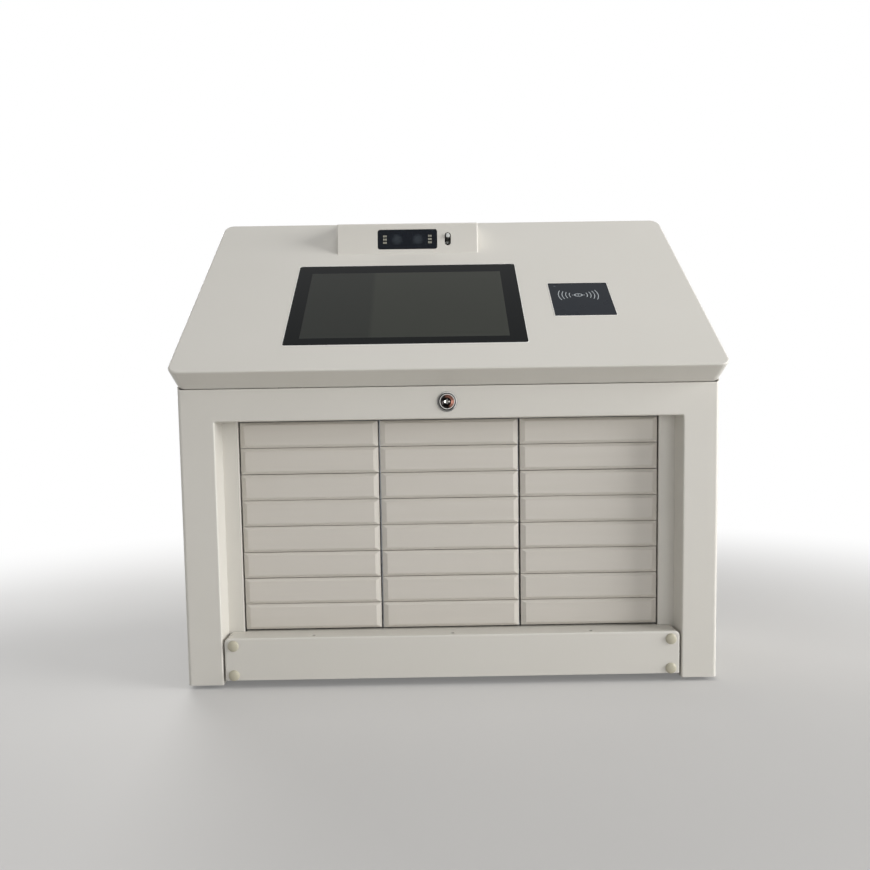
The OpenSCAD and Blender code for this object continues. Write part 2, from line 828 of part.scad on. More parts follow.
// The tilting camera: its board, two lenses and two groups of lamps, on two pivot stubs
module camera_module() {
    color(black_plastic) on_pivot() {
        for (z = [[module_z, camera_pcb], [module_z - sensor_block[2], sensor_block]])
            translate([-z[1][0] / 2, -z[1][1] / 2, z[0] - slack]) cube(z[1] + [0, 0, slack]);
        for (x = [-lens_x, lens_x]) translate([x, 0, module_z])
            cylinder(r = lens_r, h = lens_front - module_z);
        for (x = [-led_x, led_x], y = [-1, 0, 1]) translate([x, y * led_pitch, module_z + 2])
            cube(led, center = true);
        for (s = [-1, 1]) translate([s * (camera_pcb[0] / 2 + 1.8), 0, 0])
            rotate([0, 90, 0]) cylinder(r = pivot_r, h = 7.4, center = true);
        for (s = [-1, 1]) translate([s * (camera_pcb[0] / 2 - 1.25), 0, 0]) cube([2.5, 6, 3], center = true);
    }
}

// The lever on the camera's right-hand stub, out through its slot
module camera_lever() {
    color(zinc) on_pivot() {
        translate([ear_out + 1.5, 0, 0]) rotate([0, 90, 0]) cylinder(r = pivot_r, h = slot_x - ear_out - 1.5);
        translate([slot_x - 1.5, -knob[0] / 2, -knob[0] / 2]) cube([3, knob[0] + lever_rest, knob[0]]);
        translate([slot_x, lever_rest, -2]) linear_extrude(pivot_d + knob_out + 2) stadium(knob[0], knob[1]);
    }
}

// ---- Cam lock in the rail ----

module on_lock() {
    seat() translate([lock_x, 0, lock_z]) rotate([-90, 0, 0]) children();
}

module lock_barrel() {
    color(chrome) on_lock() difference() {
        union() {
            translate([0, 0, -1.2]) cylinder(d = bezel_d, h = 1.2);
            translate([0, 0, -2.3]) cylinder(d1 = bezel_d - 4.5, d2 = bezel_d - 3, h = 1.2);
            cylinder(r = barrel_r, h = barrel_l);
        }
        translate([0, 0, -3]) cylinder(r = plug_r + run_gap, h = barrel_l + 4);
    }
}

module lock_nut() {
    color(zinc) on_lock() translate([0, 0, sheet]) difference() {
        cylinder(r = 13, h = 3.5, $fn = 6);
        translate([0, 0, -1]) cylinder(r = barrel_r, h = 6);
    }
}

// The turning plug, with its keyway in front and the stub that carries the cam behind
module lock_plug() {
    color(chrome) on_lock() difference() {
        union() {
            translate([0, 0, -1.8]) cylinder(r = plug_r, h = barrel_l + 1.9);
            cylinder(r = 3.5, h = cam_y + cam_t);
            translate([0, 0, cam_y + cam_t - slack]) cylinder(r = 4.5, h = 2);
        }
        translate([-0.9, -4, -2.5]) cube([1.8, 8, 10]);
    }
}

// The cam lies level, clear of the lid's strike, when the lock is open
module lock_cam() {
    color(zinc) on_lock() translate([0, 0, cam_y]) difference() {
        union() {
            cylinder(r = cam_w / 2, h = cam_t);
            translate([0, -cam_w / 2, 0]) cube([cam_l, cam_w, cam_t]);
        }
        translate([0, 0, -1]) cylinder(r = 3.5, h = cam_t + 2);
    }
}

// ---- Hinges between the rear panel and the lid ----

module on_hinge() {
    seat() translate([0, body_d + knuckle_r, seam_rear_z]) children();
}

// One leaf. side is 1 for the lid's leaf above the pin, -1 for the cabinet's below it.
module hinge_leaf(side, own, bore_r) {
    difference() {
        union() {
            translate([-hinge_l / 2, -knuckle_r, side > 0 ? leaf_from : -leaf_h])
                cube([hinge_l, leaf_t, leaf_h - leaf_from]);
            for (i = own) translate([-hinge_l / 2 + i * knuckle_l + knuckle_gap / 2, 0, 0]) {
                rotate([0, 90, 0]) cylinder(r = knuckle_r, h = knuckle_l - knuckle_gap);
                translate([0, -knuckle_r, side > 0 ? 0 : -leaf_from - slack])
                    cube([knuckle_l - knuckle_gap, leaf_t, leaf_from + slack]);
            }
        }
        translate([-hinge_l, 0, 0]) rotate([0, 90, 0]) cylinder(r = bore_r, h = 2 * hinge_l);
    }
}

module hinge_leaves_cabinet() {
    color(zinc) on_hinge() for (x = hinge_x) translate([x, 0, 0]) hinge_leaf(-1, [0, 2, 4], pin_r);
}

module hinge_leaves_lid() {
    color(zinc) on_hinge() for (x = hinge_x) translate([x, 0, 0]) hinge_leaf(1, [1, 3], pin_r + run_gap);
}

module hinge_pins() {
    color(zinc) on_hinge() for (x = hinge_x)
        translate([x - hinge_l / 2, 0, 0]) rotate([0, 90, 0]) cylinder(r = pin_r, h = hinge_l);
}

base_pan();
side_panel_left();
side_panel_right();
front_rail();
rear_panel();
front_lip();
lip_caps();
rubber_feet();
bank_walls();
drawer_runners();
bank_cover();
drawer_locks();
controller_board();
power_supply();
power_inlet();
power_switch();
hinge_leaves_cabinet();
hinge_leaves_lid();
hinge_pins();
lock_barrel();
lock_nut();
lock_plug();
lock_cam();
lid_shell();
lid_strike();
screen_glass();
display_module();
display_straps();
panel_board();
reader_tile();
reader_module();
camera_housing();
camera_window();
camera_bracket();
camera_module();
camera_lever();
for (c = [1 : columns], r = [1 : rows])
    drawer(c, r);
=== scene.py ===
# %% [markdown]
# # A locker box for phones
#
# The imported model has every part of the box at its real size: a folded steel cabinet, a sloping
# lid with a screen, and 24 small drawers. This notebook keeps those sizes and adds what a picture
# needs: rounded folds, moulded edges, and a finish for each material. Each step says what the
# piece is on the real object, and why it is made the way it is.

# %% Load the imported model
import math
import random

import bmesh
import bpy
from mathutils import Matrix, Vector


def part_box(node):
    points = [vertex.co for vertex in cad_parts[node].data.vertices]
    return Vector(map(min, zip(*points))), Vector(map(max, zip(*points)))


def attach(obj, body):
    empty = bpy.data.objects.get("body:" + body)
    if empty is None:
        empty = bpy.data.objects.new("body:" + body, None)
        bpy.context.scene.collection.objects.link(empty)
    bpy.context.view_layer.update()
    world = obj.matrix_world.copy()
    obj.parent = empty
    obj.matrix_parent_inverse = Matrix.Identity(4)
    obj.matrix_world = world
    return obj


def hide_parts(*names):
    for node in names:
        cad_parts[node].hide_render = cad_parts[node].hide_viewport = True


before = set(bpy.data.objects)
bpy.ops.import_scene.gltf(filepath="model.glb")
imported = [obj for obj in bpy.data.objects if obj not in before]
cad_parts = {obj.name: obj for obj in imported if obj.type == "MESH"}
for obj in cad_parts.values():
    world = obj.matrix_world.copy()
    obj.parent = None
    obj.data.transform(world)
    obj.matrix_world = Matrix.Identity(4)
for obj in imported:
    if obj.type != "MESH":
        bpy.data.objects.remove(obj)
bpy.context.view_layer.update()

random.seed(24)
scene = bpy.context.scene

# %% [markdown]
# ## Where things are
#
# Sheet metal is drawn in millimetres from its own faces, so the pieces here are too. Three sets
# of coordinates are used: the cabinet's (across from the middle, back from the front face, up
# from the underside), the lid's (across, up the slope from its front edge, out of its surface)
# and the camera housing's face. A matrix for each turns its millimetres into the scene's metres.

# %% Coordinates of the cabinet, the lid and the camera's face
MM = 0.001
QUARTER = math.pi / 2
SLOPE = math.radians(39.1)
LEAN = math.radians(5)
FACE_TURN = QUARTER - LEAN - SLOPE
LID_FRONT = (0, -28, 322)
LOCK_SPOT = (-2, 0, 290.7)
SCREEN_X = -43.5
HOUSING_UP = 240.3
WINDOW_UP = 17.6
cabinet_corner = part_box("side_panel_left")[0]
CABINET = Matrix.Translation((0, cabinet_corner.y, cabinet_corner.z)) @ Matrix.Scale(MM, 4)
LID = CABINET @ Matrix.Translation(LID_FRONT) @ Matrix.Rotation(SLOPE, 4, "X")
HOUSING = LID @ Matrix.Translation((SCREEN_X, HOUSING_UP, 0))
FACE = HOUSING @ Matrix.Rotation(FACE_TURN, 4, "X")
LOCK = CABINET @ Matrix.Translation(LOCK_SPOT) @ Matrix.Rotation(QUARTER, 4, "X")
print("the lid's front edge is at", [round(v, 4) for v in LID.translation])

# %% [markdown]
# ## Small tools for modelling
#
# Most of the box is bent sheet. A bent sheet is easy to get from a plain block: delete the open
# sides, round the edges that are folds, then give the surface its thickness. These helpers name
# those steps. Edges are picked by the way they run and where their middle is, which stays true
# when a size changes.

# %% Blocks, prisms and turned shapes
TOUCHING = 1e-4


def block(bm, low, high):
    """Adds a box between two corners."""
    low, high = Vector(low), Vector(high)
    place = Matrix.Translation((low + high) / 2) @ Matrix.Diagonal((*(high - low), 1))
    return bmesh.ops.create_cube(bm, size=1, matrix=place)["verts"]


def points_in(geometry):
    """The vertices among the parts that an operator gives back."""
    return [part for part in geometry if isinstance(part, bmesh.types.BMVert)]


def prism(outline, x0, x1):
    """An outline of (back, up) points, drawn out across from x0 to x1."""
    bm = bmesh.new()
    face = bm.faces.new([bm.verts.new((x0, y, z)) for y, z in outline])
    moved = bmesh.ops.extrude_face_region(bm, geom=[face])["geom"]
    bmesh.ops.translate(bm, verts=points_in(moved), vec=(x1 - x0, 0, 0))
    return bm


def turned(profile, steps):
    """A profile of (radius, height) points, spun about the Z axis."""
    bm = bmesh.new()
    points = [bm.verts.new((radius, 0, height)) for radius, height in profile]
    lines = [bm.edges.new(pair) for pair in zip(points, points[1:])]
    bmesh.ops.spin(bm, geom=points + lines, cent=(0, 0, 0), axis=(0, 0, 1), angle=2 * math.pi,
                   steps=steps, use_merge=True)
    bmesh.ops.remove_doubles(bm, verts=bm.verts, dist=TOUCHING)
    bmesh.ops.recalc_face_normals(bm, faces=bm.faces)
    return bm


print("points closer than", TOUCHING, "mm become one")

# %% Picking edges
CLOSE = 0.01


def runs(edge, axis):
    """True where an edge is parallel to an axis: 0, 1 or 2."""
    along = edge.verts[1].co - edge.verts[0].co
    return abs(along[axis]) > 0.999 * along.length


def middle(edge):
    return (edge.verts[0].co + edge.verts[1].co) / 2


def near(value, target):
    return abs(value - target) < CLOSE


def lies_at(edge, axis, value):
    """True where both ends of an edge have one coordinate at a value."""
    return all(near(v.co[axis], value) for v in edge.verts)


def beside(edge, x):
    """True where an edge's middle is x to the left or the right of the centre."""
    return near(abs(middle(edge).x), x)


print("edges are picked to", CLOSE, "mm")

# %% Rounding and bending
def round_over(bm, edges, radius, segments):
    """Rounds edges, as a fold or a moulded corner is."""
    bmesh.ops.bevel(bm, geom=list(edges), offset=radius, offset_type="OFFSET", segments=segments,
                    profile=0.5, affect="EDGES", material=-1, clamp_overlap=True)


def plate(width, height, corner, low, high, edge=0.0, centre=(0, 0)):
    """A flat plate with round corners, and a soft edge on its upper side."""
    bm = bmesh.new()
    x, y = centre
    block(bm, (x - width / 2, y - height / 2, low), (x + width / 2, y + height / 2, high))
    round_over(bm, [e for e in bm.edges if runs(e, 2)], corner, 6)
    if edge:
        upper = [e for e in bm.edges if min(v.co.z for v in e.verts) > high - TOUCHING]
        round_over(bm, upper, edge, 3)
    return bm


def box_of(low, high, soft=0.3):
    """A separate box with every edge rounded."""
    bm = bmesh.new()
    block(bm, low, high)
    round_over(bm, bm.edges, soft, 2)
    return bm


def drawn_out(bm, edges, way):
    """Adds a strip of surface to open edges, as a flange is bent out of a sheet."""
    grown = bmesh.ops.extrude_edge_only(bm, edges=edges)["geom"]
    bmesh.ops.translate(bm, verts=points_in(grown), vec=way)


print("rounding tools ready")

# %% Thickening a surface
SHEET_T = 1.5


def mesh_of(bm, name):
    """Turns a bmesh into a mesh and frees it."""
    mesh = bpy.data.meshes.new(name)
    bm.to_mesh(mesh)
    bm.free()
    return mesh


def put(name, data):
    """Adds an object to the scene."""
    made = bpy.data.objects.new(name, data)
    scene.collection.objects.link(made)
    return made


def worked(bm, kind, **settings):
    """Runs one modifier on a bmesh and gives back a new bmesh."""
    mesh = mesh_of(bm, "work")
    carrier = put("work", mesh)
    modifier = carrier.modifiers.new("work", kind)
    for key, value in settings.items():
        setattr(modifier, key, value)
    shaped = carrier.evaluated_get(bpy.context.evaluated_depsgraph_get()).to_mesh()
    result = bmesh.new()
    result.from_mesh(shaped)
    bpy.data.objects.remove(carrier)
    bpy.data.meshes.remove(mesh)
    return result


def sheet(bm, outward, thickness=SHEET_T):
    """Gives an open surface a wall on its inner side. outward is a point outside it."""
    bmesh.ops.recalc_face_normals(bm, faces=bm.faces)
    outward = Vector(outward)
    nearest = min(bm.faces, key=lambda f: (f.calc_center_median() - outward).length)
    if nearest.normal.dot(outward - nearest.calc_center_median()) < 0:
        bmesh.ops.reverse_faces(bm, faces=bm.faces)
    return worked(bm, "SOLIDIFY", thickness=thickness, offset=-1, use_even_offset=True)


print("sheet is", SHEET_T, "mm thick")

# %% Cutting and joining
def carved(bm, tool, place=Matrix()):
    """Cuts one closed shape out of another."""
    tool.transform(place)
    bmesh.ops.recalc_face_normals(tool, faces=tool.faces)
    mesh = mesh_of(tool, "tool")
    cutter = put("tool", mesh)
    result = worked(bm, "BOOLEAN", object=cutter, operation="DIFFERENCE", solver="EXACT")
    bpy.data.objects.remove(cutter)
    bpy.data.meshes.remove(mesh)
    return result


def joined(*shapes):
    """Puts several bmeshes in one."""
    whole = bmesh.new()
    for shape in shapes:
        mesh = mesh_of(shape, "part")
        whole.from_mesh(mesh)
        bpy.data.meshes.remove(mesh)
    return whole


print("modelling tools ready")

# %% [markdown]
# ## Turning a shape into a piece
#
# A finished piece sits at the origin with its place in its mesh, rides on the body that it is
# part of, and hides the imported nodes that it stands for. Its faces are shaded smooth, its sharp
# edges are kept, and Weighted Normal lets the large flat faces decide the shading, so that a thin
# rounded fold doesn't put a gradient across a whole panel.

# %% Finish a piece
SHARP = 32


def piece(bm, name, place, body, finishes, stands_for=()):
    """Makes an object of a shape. place takes its coordinates to the scene's metres."""
    bmesh.ops.remove_doubles(bm, verts=bm.verts, dist=TOUCHING)
    bm.transform(place)
    bmesh.ops.recalc_face_normals(bm, faces=bm.faces)
    for face in bm.faces:
        face.smooth = True
    for edge in bm.edges:
        edge.smooth = edge.calc_face_angle(math.pi) < math.radians(SHARP)
    made = put(name, mesh_of(bm, name))
    for finish in finishes if isinstance(finishes, list) else [finishes]:
        made.data.materials.append(finish)
    made.modifiers.new("flat faces", "WEIGHTED_NORMAL").keep_sharp = True
    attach(made, body)
    if stands_for:
        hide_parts(*stands_for)
    return made


print("an edge that turns by over", SHARP, "degrees stays sharp")

# %% [markdown]
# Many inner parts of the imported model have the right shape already, but their edges are perfectly
# sharp, and no real edge is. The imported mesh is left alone: a copy of it is merged back into
# whole faces, and its edges are broken by a fraction of a millimetre so that they catch light.

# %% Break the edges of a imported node
IN_MM = Matrix.Scale(1 / MM, 4)
BACK_TO_METRES = Matrix.Scale(MM, 4)
ONE_FACE, CORNER = 0.5, 40


def softened(node, width):
    """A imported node's shape in millimetres, with its edges broken by width."""
    bm = bmesh.new()
    bm.from_mesh(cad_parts[node].data)
    bm.transform(IN_MM)
    bmesh.ops.remove_doubles(bm, verts=bm.verts, dist=10 * TOUCHING)
    bmesh.ops.dissolve_limit(bm, angle_limit=math.radians(ONE_FACE), verts=bm.verts,
                             edges=bm.edges)
    corners = [e for e in bm.edges if e.is_manifold
               and e.calc_face_angle(0) > math.radians(CORNER)]
    round_over(bm, corners, width, 2)
    return bm


print("corners of over", CORNER, "degrees get broken")

# %% [markdown]
# ## Writing materials as sums
#
# A finish is arithmetic on patterns: a base colour, a little darker where a noise is high, a
# little rougher where it is low. `Wire` wraps one socket and lets Python's own operators add the
# Math nodes, so that `1 - mask * 0.2` reads as it would on paper. `Finish` starts a material,
# has one method for any other node, and hands a place's coordinates out as three wires.

# %% Sockets with arithmetic
class Wire:
    """One output socket, which Python's operators work on."""

    def __init__(self, finish, socket):
        self.finish = finish
        self.socket = socket

    def _sum(self, operation, first, second=0.0):
        return self.finish.node("ShaderNodeMath", {"operation": operation}, {0: first, 1: second})

    def __add__(self, other):
        return self._sum("ADD", self, other)

    def __sub__(self, other):
        return self._sum("SUBTRACT", self, other)

    def __rsub__(self, other):
        return self._sum("SUBTRACT", other, self)

    def __mul__(self, other):
        return self._sum("MULTIPLY", self, other)

    def __truediv__(self, other):
        return self._sum("DIVIDE", self, other)

    def __lt__(self, other):
        return self._sum("LESS_THAN", self, other)

    def __gt__(self, other):
        return self._sum("GREATER_THAN", self, other)

    __radd__ = __add__
    __rmul__ = __mul__

    def size(self):
        return self._sum("ABSOLUTE", self)

    def root(self):
        return self._sum("SQRT", self)

    def within(self, half, centre):
        """1 where the value is less than half away from centre, else 0."""
        return (self - centre).size() < half


def away(across, up):
    """How far a point is from the middle of two coordinates."""
    return (across * across + up * up).root()


print("wires can do sums")

# %% A material under construction
class Finish:
    """One material. The constants are set on its shader, with _ for each space in a name."""

    def __init__(self, name, **constants):
        self.material = bpy.data.materials.new(name)
        self.material.use_nodes = True
        self.tree = self.material.node_tree
        self.shader = self.tree.nodes["Principled BSDF"]
        for key, value in constants.items():
            self.shader.inputs[key.replace("_", " ")].default_value = value

    def plug(self, socket, value):
        if isinstance(value, Wire):
            self.tree.links.new(value.socket, socket)
        else:
            socket.default_value = value

    def node(self, kind, settings=None, inputs=None, output=0):
        made = self.tree.nodes.new(kind)
        for key, value in (settings or {}).items():
            setattr(made, key, value)
        for key, value in (inputs or {}).items():
            self.plug(made.inputs[key], value)
        return Wire(self, made.outputs[output])

    def place(self, matrix=None):
        """Object coordinates, or millimetres from the place that a matrix gives."""
        here = self.node("ShaderNodeTexCoord", output="Object")
        if matrix is None:
            return here
        inputs = {"Vector": here, "Location": matrix.translation,
                  "Rotation": matrix.to_euler(), "Scale": matrix.to_scale()}
        return self.node("ShaderNodeMapping", {"vector_type": "TEXTURE"}, inputs)

    def axes(self, matrix=None):
        """The three coordinates of place: across, up and out."""
        split = self.node("ShaderNodeSeparateXYZ", inputs={0: self.place(matrix)})
        return [Wire(self, socket) for socket in split.socket.node.outputs]

    def noise(self, scale, detail, rough, vector=None):
        inputs = {"Vector": vector or self.place(), "Scale": scale, "Detail": detail,
                  "Roughness": rough}
        return self.node("ShaderNodeTexNoise", inputs=inputs)

    def stretched(self, scale, detail, rough):
        """Noise drawn out into streaks: scale says how fine it is along each axis."""
        inputs = {"Vector": self.place(), "Scale": scale}
        return self.noise(1, detail, rough, self.node("ShaderNodeMapping", inputs=inputs))

    def blend(self, mask, first, second):
        inputs = {0: mask, 6: first, 7: second}
        return self.node("ShaderNodeMix", {"data_type": "RGBA"}, inputs, output=2)

    def ramp(self, value, low, high):
        """0 below low, 1 above high, and smooth between."""
        inputs = {0: value, 1: low, 2: high, 3: 0.0, 4: 1.0}
        return self.node("ShaderNodeMapRange", {"interpolation_type": "SMOOTHSTEP"}, inputs)

    def colour(self, value):
        self.plug(self.shader.inputs["Base Color"], value)

    def rough(self, value):
        self.plug(self.shader.inputs["Roughness"], value)

    def bump(self, height, depth_mm):
        inputs = {"Height": height, "Strength": 1.0, "Distance": depth_mm * MM}
        self.plug(self.shader.inputs["Normal"], self.node("ShaderNodeBump", inputs=inputs))


print("materials can be built")

# %% Colours
def rgb(red, green, blue):
    """An sRGB colour, 0 to 255, as the linear values that a shader takes."""
    values = [c / 255 for c in (red, green, blue)]
    return (*[c / 12.92 if c <= 0.04045 else ((c + 0.055) / 1.055) ** 2.4 for c in values], 1.0)


print("middle grey is", round(rgb(128, 128, 128)[0], 3), "to a shader")

# %% [markdown]
# ## Powder coat
#
# The cabinet and lid are steel with a baked powder coat: off-white, satin, and covered with a
# very fine orange peel, a ripple about a millimetre across that softens reflections. The ripple
# is a bump from fine noise. Colour varies by about two parts in a hundred over a hand's breadth.

# %% Powder coat
def powder_coat(name, light, dark):
    coat = Finish(name)
    drift = coat.noise(7, 2, 0.4)
    speck = coat.ramp(coat.noise(900, 1, 0.5), 0.62, 0.75)
    coat.colour(coat.blend(speck * 0.08, coat.blend(drift, dark, light), rgb(186, 182, 174)))
    coat.rough(0.44 + drift * 0.06 - speck * 0.04)
    coat.bump(coat.noise(620, 2, 0.45) + coat.noise(160, 1, 0.4) * 0.6, 0.016)
    return coat.material


POWDER = powder_coat("powder_coat", rgb(212, 209, 202), rgb(207, 204, 196))
print(POWDER.name)

# %% [markdown]
# ## Moulded plastic
#
# The drawers are injection moulded in a slightly warmer grey than the paint. A moulded face has a
# spark-eroded texture, finer than powder coat, and faint streaks where the plastic flowed from
# the middle of the front to its ends.

# %% Drawer moulding
def moulding(name, light, dark):
    plastic = Finish(name)
    flow = plastic.stretched((6, 60, 90), 3, 0.55)
    plastic.colour(plastic.blend(flow, dark, light))
    grain = plastic.noise(2400, 2, 0.6)
    plastic.rough(0.44 + grain * 0.1)
    plastic.bump(grain, 0.012)
    return plastic.material


MOULDING = moulding("drawer_moulding", rgb(208, 203, 195), rgb(201, 196, 187))
IVORY = moulding("ivory_plastic", rgb(184, 179, 160), rgb(174, 169, 150))
# the white of the rings round the glass and the tile: a painted highlight line
PAINTED_HIGHLIGHT_FINISH = moulding("painted_highlight_ring", rgb(236, 234, 229), rgb(229, 227, 221))
BLACK = moulding("black_plastic", rgb(38, 38, 40), rgb(28, 28, 30))
RUBBER = moulding("rubber", rgb(34, 33, 32), rgb(24, 24, 24))
BLUE_RELAY = moulding("relay_case", rgb(36, 74, 130), rgb(28, 62, 116))
WHITE_SOCKET = moulding("wire_socket", rgb(214, 212, 200), rgb(200, 197, 184))
print("moulded plastics ready")

# %% [markdown]
# ## Metals
#
# Zinc plate on folded steel is dull and a little blotchy, with the rolling direction of the sheet
# still showing as faint long scratches. The lock's chrome is nearly a mirror. Fine wiping marks
# keep it from looking perfect. The grooves between its rings and the keyway are darkened, partly
# dirt and partly painted shade. The inner cone has painted light: copper on its right side and a
# painted shade on its left. In the middle, the plug's dark face has a painted highlight, a bright
# wedge, on its left and a painted light spot on its right. All of these are picked by their
# distance from the lock's axis and their side.

# %% Zinc plate and the lever's steel
def metal(name, light, dark, rough, spread, scratch):
    plate_metal = Finish(name, Metallic=1.0)
    blotch = plate_metal.noise(45, 3, 0.6)
    lines = plate_metal.stretched((30, 1400, 1400), 2, 0.6)
    plate_metal.colour(plate_metal.blend(blotch, dark, light))
    plate_metal.rough(rough + blotch * spread + lines * spread)
    plate_metal.bump(lines, scratch)
    return plate_metal.material


ZINC = metal("zinc_steel", rgb(204, 206, 208), rgb(166, 170, 174), 0.3, 0.14, 0.006)
LEVER = metal("lever_steel", rgb(176, 177, 174), rgb(142, 143, 141), 0.42, 0.12, 0.004)
print(ZINC.name, LEVER.name)

# %% Chrome
FACE_R, CONE_R, INNER_R, RIM_R = 3.7, 4.1, 7.0, 10.2
INNER_GROOVE, OUTER_GROOVE = 6.0, 8.6


def lock_finish():
    chrome = Finish("chrome", Metallic=1.0)
    across, up, out = chrome.axes(LOCK)
    reach = away(across, up)
    wiped = chrome.noise(300, 2, 0.6)
    # painted shade, with some dirt: the grooves, the barrel past the rim and the keyway are
    # darkened
    grooves = reach.within(0.32, OUTER_GROOVE) + reach.within(0.22, INNER_GROOVE)
    dirt_and_painted_shade = grooves + (reach > RIM_R) + (out < 0)
    inner = reach < INNER_R
    ring = chrome.ramp(reach, FACE_R, CONE_R) * inner
    # painted light on the cone: copper on its right side, painted shade on its left
    painted_lit_side = chrome.ramp(across + up * 0.4, -1.5, 2.5)
    painted_light_cone = chrome.blend(painted_lit_side, rgb(34, 31, 30), rgb(158, 112, 98))
    # a painted highlight on the plug's left and a painted light spot on its right
    painted_highlight = (up.size() < (across + 3.5) * 0.75) * (across < -1.4)
    painted_light_spot = away(across - 2.0, up) < 0.85
    face_with_light_spot = chrome.blend(painted_light_spot, rgb(16, 15, 15), rgb(118, 114, 110))
    face = chrome.blend(painted_highlight, face_with_light_spot, rgb(236, 236, 232))
    plain = chrome.blend(wiped, rgb(104, 103, 101), rgb(136, 135, 132))
    before_shade_and_dirt = chrome.blend(inner, plain, chrome.blend(ring, face, painted_light_cone))
    chrome.colour(chrome.blend(dirt_and_painted_shade * 0.92, before_shade_and_dirt, rgb(20, 19, 18)))
    chrome.rough(0.08 + wiped * 0.1 + dirt_and_painted_shade * 0.3)
    chrome.bump(wiped, 0.002)
    return chrome.material


CHROME = lock_finish()
print(CHROME.name)

# %% [markdown]
# ## Screen glass
#
# The screen is one sheet of glass with a black border printed on its back and a dark display
# behind the middle. Both are seen through the same polished surface, so they are one material
# whose colour changes where the display begins. The switched-off display is a little lighter
# than the border, and a painted shade darkens its left third. An anti-glare layer keeps the shine
# low.

# %% Screen glass
ANTI_GLARE = 0.055
DISPLAY_X, DISPLAY_UP = -44.5, 126
DISPLAY_HALF_W, DISPLAY_HALF_H = 108.7, 68.4


def screen_finish():
    glass = Finish("screen_glass", Specular_IOR_Level=ANTI_GLARE)
    across, up, _ = glass.axes(LID)
    display = across.within(DISPLAY_HALF_W, DISPLAY_X) * up.within(DISPLAY_HALF_H, DISPLAY_UP)
    # painted shade: the display's left third is darker
    outside_painted_shade = glass.ramp(across, -84, -77)
    lit = glass.blend(outside_painted_shade, rgb(50, 52, 49), rgb(60, 62, 57))
    haze = glass.noise(9, 2, 0.5)
    seen = glass.blend(haze * 0.3, lit, rgb(46, 48, 44))
    glass.colour(glass.blend(display, rgb(13, 16, 17), seen))
    glass.rough(0.07 + haze * 0.03 + display * 0.05)
    return glass.material


GLASS = screen_finish()
print(GLASS.name)

# %% [markdown]
# ## Card reader tile
#
# The tile shows where a card is held: radio waves on both sides of a small eye, printed in pale
# grey. The waves are rings around one centre, kept only where they lie more to the side than
# above or below, which is one comparison on the same two coordinates. The eye is an oval line
# with a pupil and a dash at each corner, and a small dim lamp sits at the tile's upper left.

# %% Card reader tile
MARK_SPOT = (147, 137.4, 0)
WAVES, HALF_LINE = (10, 14, 18, 22), 0.42
LAMP_X, LAMP_UP = -24, 20


def tile_finish():
    tile = Finish("tile", Specular_IOR_Level=ANTI_GLARE)
    across, up, _ = tile.axes(LID @ Matrix.Translation(MARK_SPOT))
    reach = away(across, up)
    waves = sum(reach.within(HALF_LINE, radius) for radius in WAVES)
    waves = waves * (up.size() < across.size() * 0.52)
    oval = (across * across / 17 + up * up / 8).root()
    dashes = (up.size() < 0.4) * across.size().within(0.9, 6.2)
    eye = oval.within(0.16, 1) + (reach < 0.9) + dashes
    dim_lamp = away(across - LAMP_X, up - LAMP_UP) < 1.3
    haze = tile.noise(30, 2, 0.5)
    ground = tile.blend(haze, rgb(33, 37, 43), rgb(38, 42, 48))
    unprinted = tile.blend(dim_lamp * 0.5, ground, rgb(96, 104, 112))
    tile.colour(tile.blend((waves + eye) * 0.86, unprinted, rgb(192, 198, 202)))
    tile.rough(0.24 + haze * 0.08 + waves * 0.15)
    return tile.material


TILE = tile_finish()
print(TILE.name)

# %% [markdown]
# ## Smoked window, lenses and lamps
#
# The camera looks through a smoked window that is nearly black. The two lenses and the two groups
# of six small lamps behind it are painted onto it rather than seen through it: paler discs for the
# lenses, and for each lamp an opaque bright dot, a painted reflection of the reflector behind it.
# So the spots are drawn in the window's own coordinates, and elsewhere the smoke is see-through by
# a fixed amount.

# %% Smoked window
LENS_X, LAMP_ROW = 12.4, 3.9
SPOT_COLUMNS, SPOT_HALF_W, SPOT_HALF_H = (25.9, 28.3), 0.95, 1.15


def window_finish():
    smoke = Finish("window", Specular_IOR_Level=0.12)
    across, up, _ = smoke.axes(FACE @ Matrix.Translation((0, WINDOW_UP, 0)))
    side = across.size()
    reach = away(side - LENS_X, up)
    # painted, not seen through: paler lens discs, and an opaque bright dot for each lamp, a painted
    # reflection of its reflector
    lenses = smoke.ramp(6.6 - reach, 0, 0.8) * (0.55 + smoke.ramp(4.2 - reach, 0, 0.6) * 0.45)
    rows = (up.size() < SPOT_HALF_H) + up.size().within(SPOT_HALF_H, LAMP_ROW)
    lamps = rows * sum(side.within(SPOT_HALF_W, column) for column in SPOT_COLUMNS)
    haze = smoke.noise(60, 2, 0.5)
    tint = smoke.blend(haze, rgb(22, 27, 34), rgb(27, 32, 40))
    tint_and_painted_lenses = smoke.blend(lenses, tint, rgb(54, 60, 66))
    smoke.colour(smoke.blend(lamps * 0.9, tint_and_painted_lenses, rgb(162, 160, 146)))
    smoke.rough(0.06 + haze * 0.05)
    smoke.plug(smoke.shader.inputs["Alpha"], 0.82 + lamps * 0.18)
    return smoke.material


WINDOW = window_finish()
print(WINDOW.name)

# %% Lenses and lamps
def lens_finish():
    lens = Finish("camera_lens", Coat_Weight=1.0)
    haze = lens.noise(300, 2, 0.5)
    lens.colour(lens.blend(haze, rgb(92, 96, 112), rgb(110, 114, 128)))
    lens.rough(0.2 + haze * 0.1)
    return lens.material


def lamp_finish():
    lamp = Finish("lamp")
    grain = lamp.noise(900, 2, 0.5)
    lamp.colour(lamp.blend(grain, rgb(206, 208, 196), rgb(236, 238, 226)))
    lamp.rough(0.3 + grain * 0.15)
    return lamp.material


